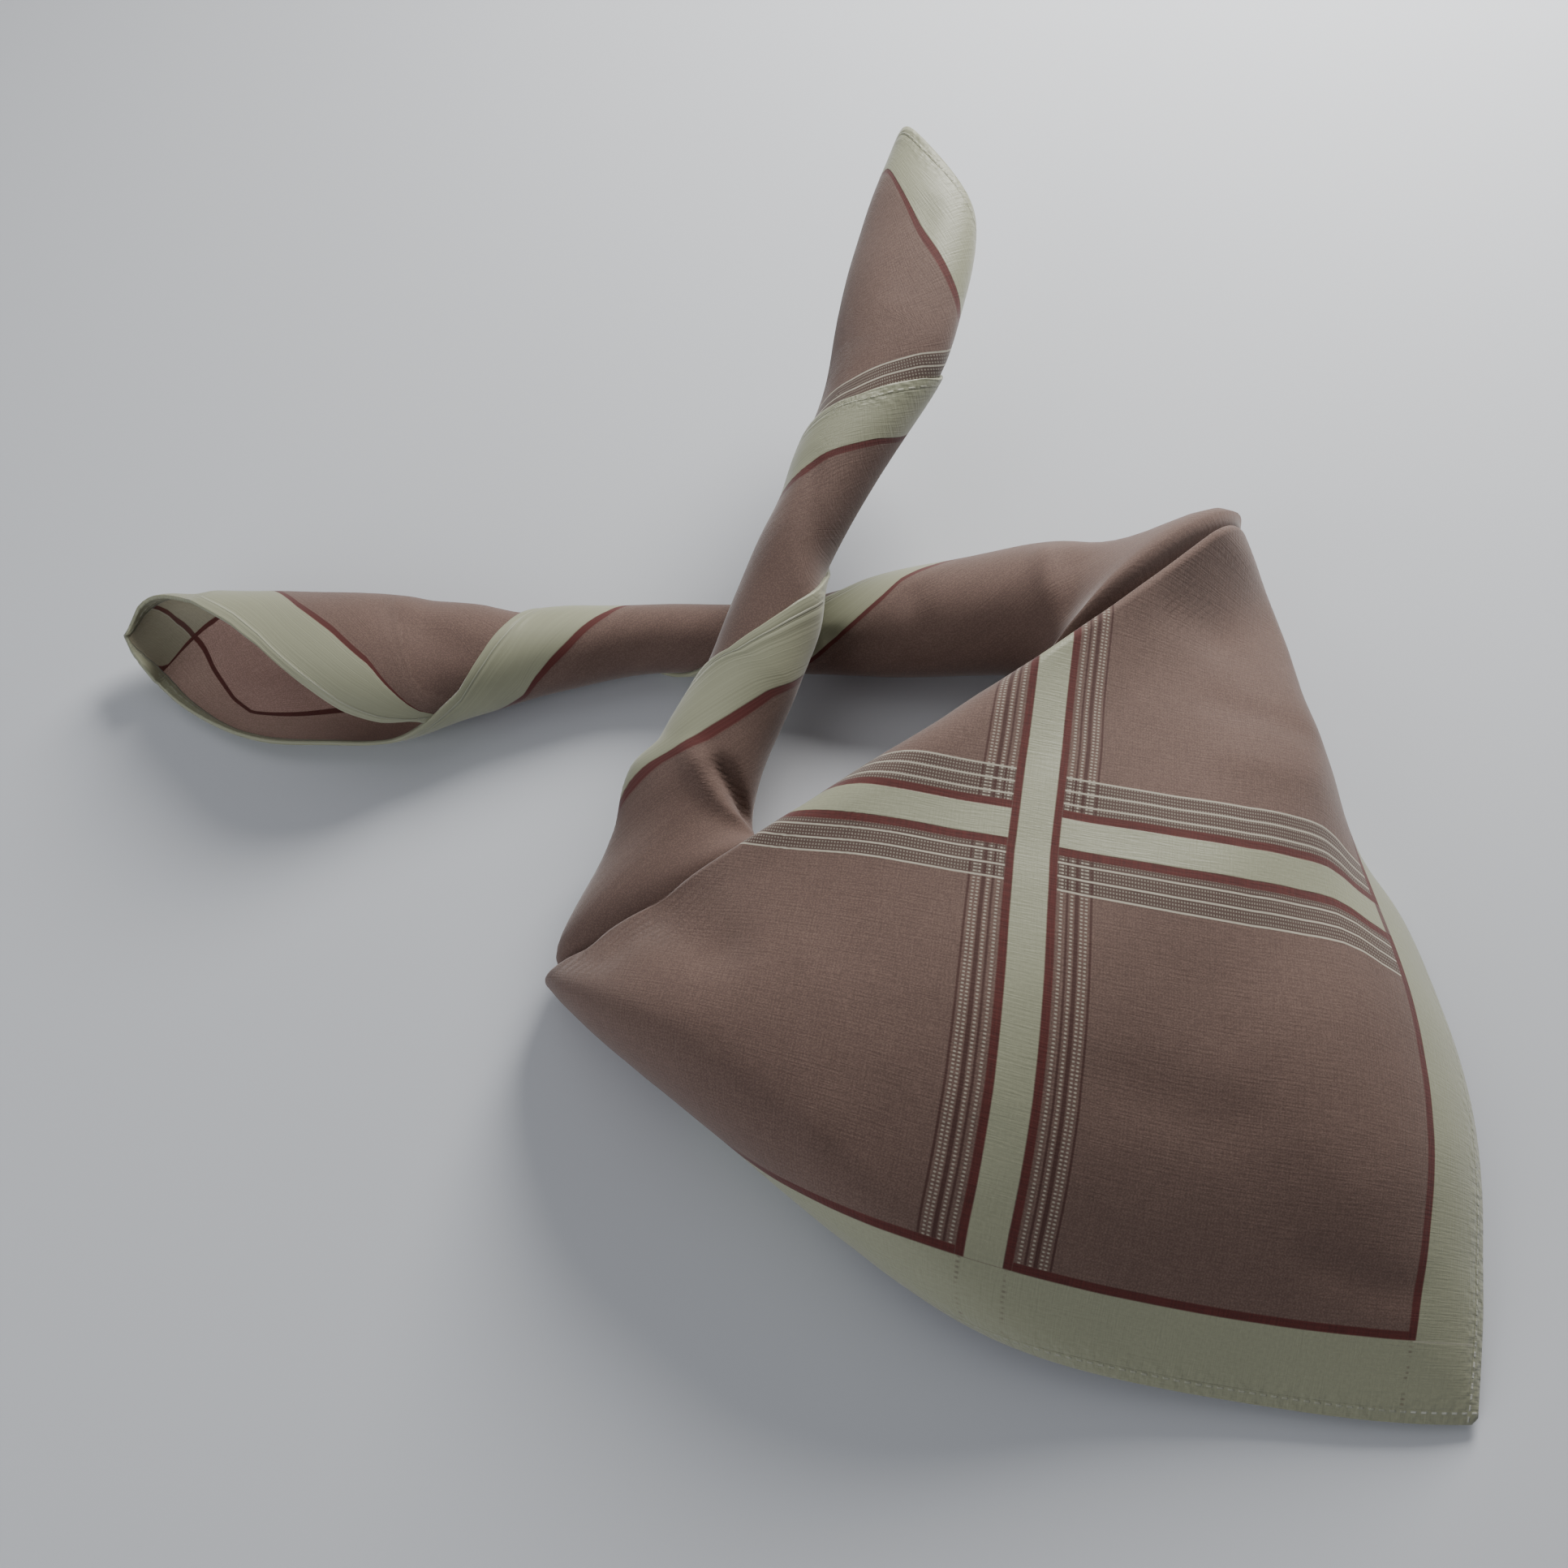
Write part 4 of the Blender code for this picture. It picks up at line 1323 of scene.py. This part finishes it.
@dataclass
class LeftTail(Tail):
    """The tail that runs up over the other one and opens in a slanted tip.

    Each pair of numbers is the stations between which something comes on or fades, or, for the
    crossing, the stretch of the other tail that lies under this one. The early span and the
    blend are shares across the strip instead, between which a place passes from its distance
    behind the upper hem to its depth under the next turn.
    """

    facing: int = -1
    other: tuple = RIGHT_TAIL
    crossing: tuple = (95, 190)
    crossing_points: int = 96
    crossing_gap: float = 0.6
    tip_until: float = 47.0
    under_tip: float = 80.0
    least_depth: float = 20.0
    covered_until: float = 88.0
    turns_under: tuple = (47.0, 55.0)
    step_starts: tuple = (12.0, 62.0)
    step_fades: tuple = (140.0, 165.0)
    early_fades: tuple = (47.0, 58.0)
    early: tuple = (0.24, 0.36)
    blend: tuple = (0.55, 0.8)
    creases: tuple = (
        (148, 18, 163, 6, 2.2, 1.5),
        (149, 12.5, 156, 2, 1.9, -1.6),
        (148, 29, 167, 31, 5.0, 2.6),
        (20, 14, 45, 17, 2.5, -0.5),
        (84, 20, 100, 12, 2.5, -0.4),
    )

    def tip_lines(self, angles: np.ndarray) -> tuple:
        """Reads the slanted rim of the tip, and the red line behind it.

        Args:
            angles: the angles to read.

        Returns:
            The stations of the rim and of the red line.
        """
        lines = np.array(TIP_LINES, float)
        low = lines[0, 0]
        place = ((angles - low) % 360.0 + low).reshape(-1)
        return tuple(spline(lines[:, 0], lines[:, k], place).reshape(angles.shape) for k in (1, 2))

    def depth(self, base: np.ndarray, stations: np.ndarray, angles: np.ndarray) -> np.ndarray:
        """Works out how deep the cloth lies, counted down from the turn that covers it.

        Args:
            base: the station at which each row starts.
            stations: the points' stations.
            angles: their angles.

        Returns:
            The points' distances from the cloth's upper hem.
        """
        cover = tuple((station, angle - 360.0) for station, angle in self.hem)
        away = self.distance(stations, angles, cover)
        deep = np.maximum(self.under_tip - away, self.least_depth)
        return np.where(base > self.covered_until, self.plain, deep)

    def shape(self) -> Sheet:
        """Works out the tail's sheet.

        Returns:
            The sheet, from the end under the panel to the tip.
        """
        share = self.spread()
        base = self.base()[:, None]
        hem, red = follow(self.hem, base), follow(self.red, base)
        far = hem - 360.0 - self.overlap * ramp(base, *self.turns_under)
        angles = hem + (far - hem) * share
        rim, rim_red = self.tip_lines(angles)
        stations = base + rim * np.clip(1 - base / self.tip_until, 0, 1)
        sunk = ramp(base, *self.step_starts) * (1 - ramp(base, *self.step_fades))
        points = self.clear_crossing(self.rings(stations, angles, self.step * sunk * share))

        top = np.clip(self.border * (hem - angles) / (hem - red), 0, self.plain)
        deep = self.depth(base, stations, angles)
        early = (1 - ramp(base, *self.early_fades)) * ramp(share, *self.early)
        blend = np.maximum(ramp(share, *self.blend), early)
        v = np.where(base < self.tip_until, deep, (1 - blend) * top + blend * deep)
        u = np.clip(self.border * (stations - rim) / (rim_red - rim), 0.0, self.plain)
        edge = np.minimum(u, np.where(base > self.tip_until, v, self.plain))
        sheet = Sheet(self.name, points, np.stack([u, v], axis=2), hemmed(edge))
        self.wear(sheet, stations, angles)
        sheet = self.gather(sheet)
        return Sheet(self.name, sheet.points[::-1], sheet.places[::-1], sheet.hems[::-1])

    def clear_crossing(self, points: np.ndarray) -> np.ndarray:
        """Lifts the underside wherever it would sink into the other tail.

        Args:
            points: the tail's points.

        Returns:
            The points, clear of the other tail.
        """
        s = read(TAIL_KEYS, self.other, np.linspace(*self.crossing, self.crossing_points))
        x, y = points[:, :, 0].reshape(-1), points[:, :, 1].reshape(-1)
        nearest = np.abs(s["x"][None, :] - x[:, None]).argmin(axis=1)
        offset = (y - s["y"][nearest]) / s["half_width"][nearest]
        inside = np.clip(1 - offset**2, 0, None)
        top = s["z"][nearest] + s["half_height"][nearest] * np.sqrt(inside) + self.crossing_gap
        top = np.where(inside > 0, top, 0.0).reshape(points.shape[:2])
        points[:, :, 2] = np.maximum(points[:, :, 2], top)
        return points


@dataclass
class NeckRoll:
    """The short roll that bears the panel's top fold, taken from its solid and smoothed.

    Its weave is read round a middle on the flat cloth, as far in from both hems.
    """

    name: str = "neck_cloth"
    merge_within: float = 0.01
    smoothing: float = 0.4
    middle: float = 150.0

    def build(self, finishes: list[bpy.types.Material]) -> bpy.types.Object:
        """Makes the roll a thin closed skin of cloth on the solid's form.

        Args:
            finishes: the materials of the right side and the wrong side.

        Returns:
            The new object.
        """
        form = bmesh.new()
        form.from_mesh(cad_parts["neck_roll"].data)
        bmesh.ops.remove_doubles(form, verts=form.verts, dist=self.merge_within * MM)
        bmesh.ops.recalc_face_normals(form, faces=form.faces)
        bmesh.ops.subdivide_edges(form, edges=form.edges, cuts=1, use_grid_fill=True)
        bmesh.ops.smooth_vert(
            form,
            verts=form.verts,
            factor=self.smoothing,
            use_axis_x=True,
            use_axis_y=True,
            use_axis_z=True,
        )
        for layer in list(form.loops.layers.uv):
            form.loops.layers.uv.remove(layer)
        layer = form.loops.layers.uv.new("cloth")
        for face in form.faces:
            face.smooth = True
            face.material_index = 0
            for loop in face.loops:
                x, y, z = loop.vert.co / MM
                loop[layer].uv = ((self.middle + x + z) / SIDE, (self.middle + y - z) / SIDE)
        return thing_from(self.name, form, finishes[:1])


@dataclass(frozen=True)
class Lamp:
    """One soft round light, aimed at the cloth. Its place and size are in metres."""

    name: str
    at: tuple
    size: float
    power: float
    colour: tuple

    def build(self) -> None:
        """Puts the light in the scene."""
        data = bpy.data.lights.new(self.name, "AREA")
        data.shape = "DISK"
        data.size = self.size
        data.energy = self.power
        data.color = self.colour
        thing = bpy.data.objects.new(self.name, data)
        turn = (Vector((0, 0, 0)) - Vector(self.at)).to_track_quat("-Z", "Y")
        thing.matrix_world = Matrix.Translation(self.at) @ turn.to_matrix().to_4x4()
        bpy.context.scene.collection.objects.link(thing)


@dataclass
class Studio:
    """The camera at the photograph's angle, the pale floor and the soft lights.

    Lengths are in metres, apart from the lens and the sensor, which are in millimetres, and
    angles are in degrees.
    """

    camera_at: tuple = (0.0114512, -0.1515468, 0.2760002)
    pitch: float = 60.54
    roll: float = 9.36
    lens: float = 36.037
    sensor: float = 36.0
    nearest: float = 0.01
    floor_half: float = 3.0
    floor_below: float = 0.0002
    floor_colour: tuple = (0.62, 0.64, 0.68)
    floor_roughness: float = 0.75
    floor_specular: float = 0.2
    lamps: tuple = (
        Lamp("window", (0.30, 0.40, 0.30), 0.26, 4.9, (1.0, 0.985, 0.95)),
        Lamp("ceiling", (-0.2, 0.5, 1.2), 1.2, 2.2, (1.0, 1.0, 1.0)),
        Lamp("front", (-0.55, -0.35, 0.3), 0.6, 1.9, (0.95, 0.97, 1.0)),
    )
    around_colour: tuple = (0.93, 0.95, 1.0)
    around_strength: float = 0.18

    def camera(self) -> None:
        """Places the camera."""
        pitch, roll = math.radians(self.pitch), math.radians(self.roll)
        right = Vector((1, 0, 0))
        ahead = Vector((0, math.cos(pitch), -math.sin(pitch)))
        down = Vector((0, -math.sin(pitch), -math.cos(pitch)))
        across = right * math.cos(roll) + down * math.sin(roll)
        under = down * math.cos(roll) - right * math.sin(roll)
        turn = Matrix((across, -under, -ahead)).transposed().to_4x4()
        data = bpy.data.cameras.new("camera")
        data.lens = self.lens
        data.sensor_width = self.sensor
        data.clip_start = self.nearest
        thing = bpy.data.objects.new("camera", data)
        thing.matrix_world = Matrix.Translation(self.camera_at) @ turn
        bpy.context.scene.collection.objects.link(thing)
        bpy.context.scene.camera = thing

    def floor(self) -> None:
        """Lays the floor."""
        form = bmesh.new()
        bmesh.ops.create_grid(form, x_segments=2, y_segments=2, size=self.floor_half)
        bmesh.ops.translate(form, verts=form.verts, vec=(0, 0, -self.floor_below))
        g = Graph("floor")
        g.shader.inputs["Base Color"].default_value = (*self.floor_colour, 1)
        g.shader.inputs["Roughness"].default_value = self.floor_roughness
        g.shader.inputs["Specular IOR Level"].default_value = self.floor_specular
        thing_from("floor", form, [g.material])

    def build(self) -> None:
        """Sets up the camera, the floor, the lights and the surrounding light."""
        self.camera()
        self.floor()
        for lamp in self.lamps:
            lamp.build()
        world = bpy.data.worlds.new("studio")
        world.use_nodes = True
        back = world.node_tree.nodes["Background"]
        back.inputs["Color"].default_value = (*self.around_colour, 1)
        back.inputs["Strength"].default_value = self.around_strength
        bpy.context.scene.world = world


def dress(piece: bpy.types.Object, slot: str, *nodes: str) -> None:
    """Lets a piece ride on the one body and stand for its nodes.

    Args:
        piece: the piece.
        slot: not used.
        nodes: the nodes it stands for.
    """
    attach(piece, "root")
    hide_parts(*nodes)
    log.info("%s: %d points", piece.name, len(piece.data.vertices))


def main() -> None:
    """Builds the studio and every piece of the neckerchief."""
    Studio().build()
    right_side = ClothFinish(Weave("cloth_right_side")).material
    wrong = Weave(
        "cloth_wrong_side",
        # The wrong side's ground and shade are lighter than the right side's: partly the paler weft
        # of the cloth's back, partly painted light standing in for light that shines through the
        # thin cotton into the mouth's inside
        ground=(0.50, 0.33, 0.28),
        shade=(0.34, 0.21, 0.18),
        border_share=0.8,
        stripe_share=0.12,
        red_runs_on=True,
        hem=3.2,
        hem_relief=0.3,
        hem_shadow=0.45,
        roughness=0.9,
    )
    wrong_side = ClothFinish(wrong).material
    sides = [right_side, wrong_side]

    sheet = Panel().shape()
    panel = sheet.build(sides)
    dress(panel, "front_panel", "front_panel")
    sheet.flat_area()

    neck = NeckRoll().build(sides)
    dress(neck, "neck_roll", "neck_roll")

    tail = RightTail("right_tail_cloth", RIGHT_TAIL, RIGHT_HEM, RIGHT_RED, 0.05, 221.0)
    sheet = tail.shape()
    right = sheet.build(sides)
    dress(right, "right_tail", "right_tail", "right_tail_mouth")
    sheet.flat_area()

    tail = LeftTail("left_tail_cloth", LEFT_TAIL, LEFT_HEM, LEFT_RED, 0.0, 182.0)
    sheet = tail.shape()
    left = sheet.build(sides)
    dress(left, "left_tail", "left_tail", "left_tail_tip")
    sheet.flat_area()


if __name__ == "__main__":
    logging.basicConfig(level=logging.INFO)
    main()
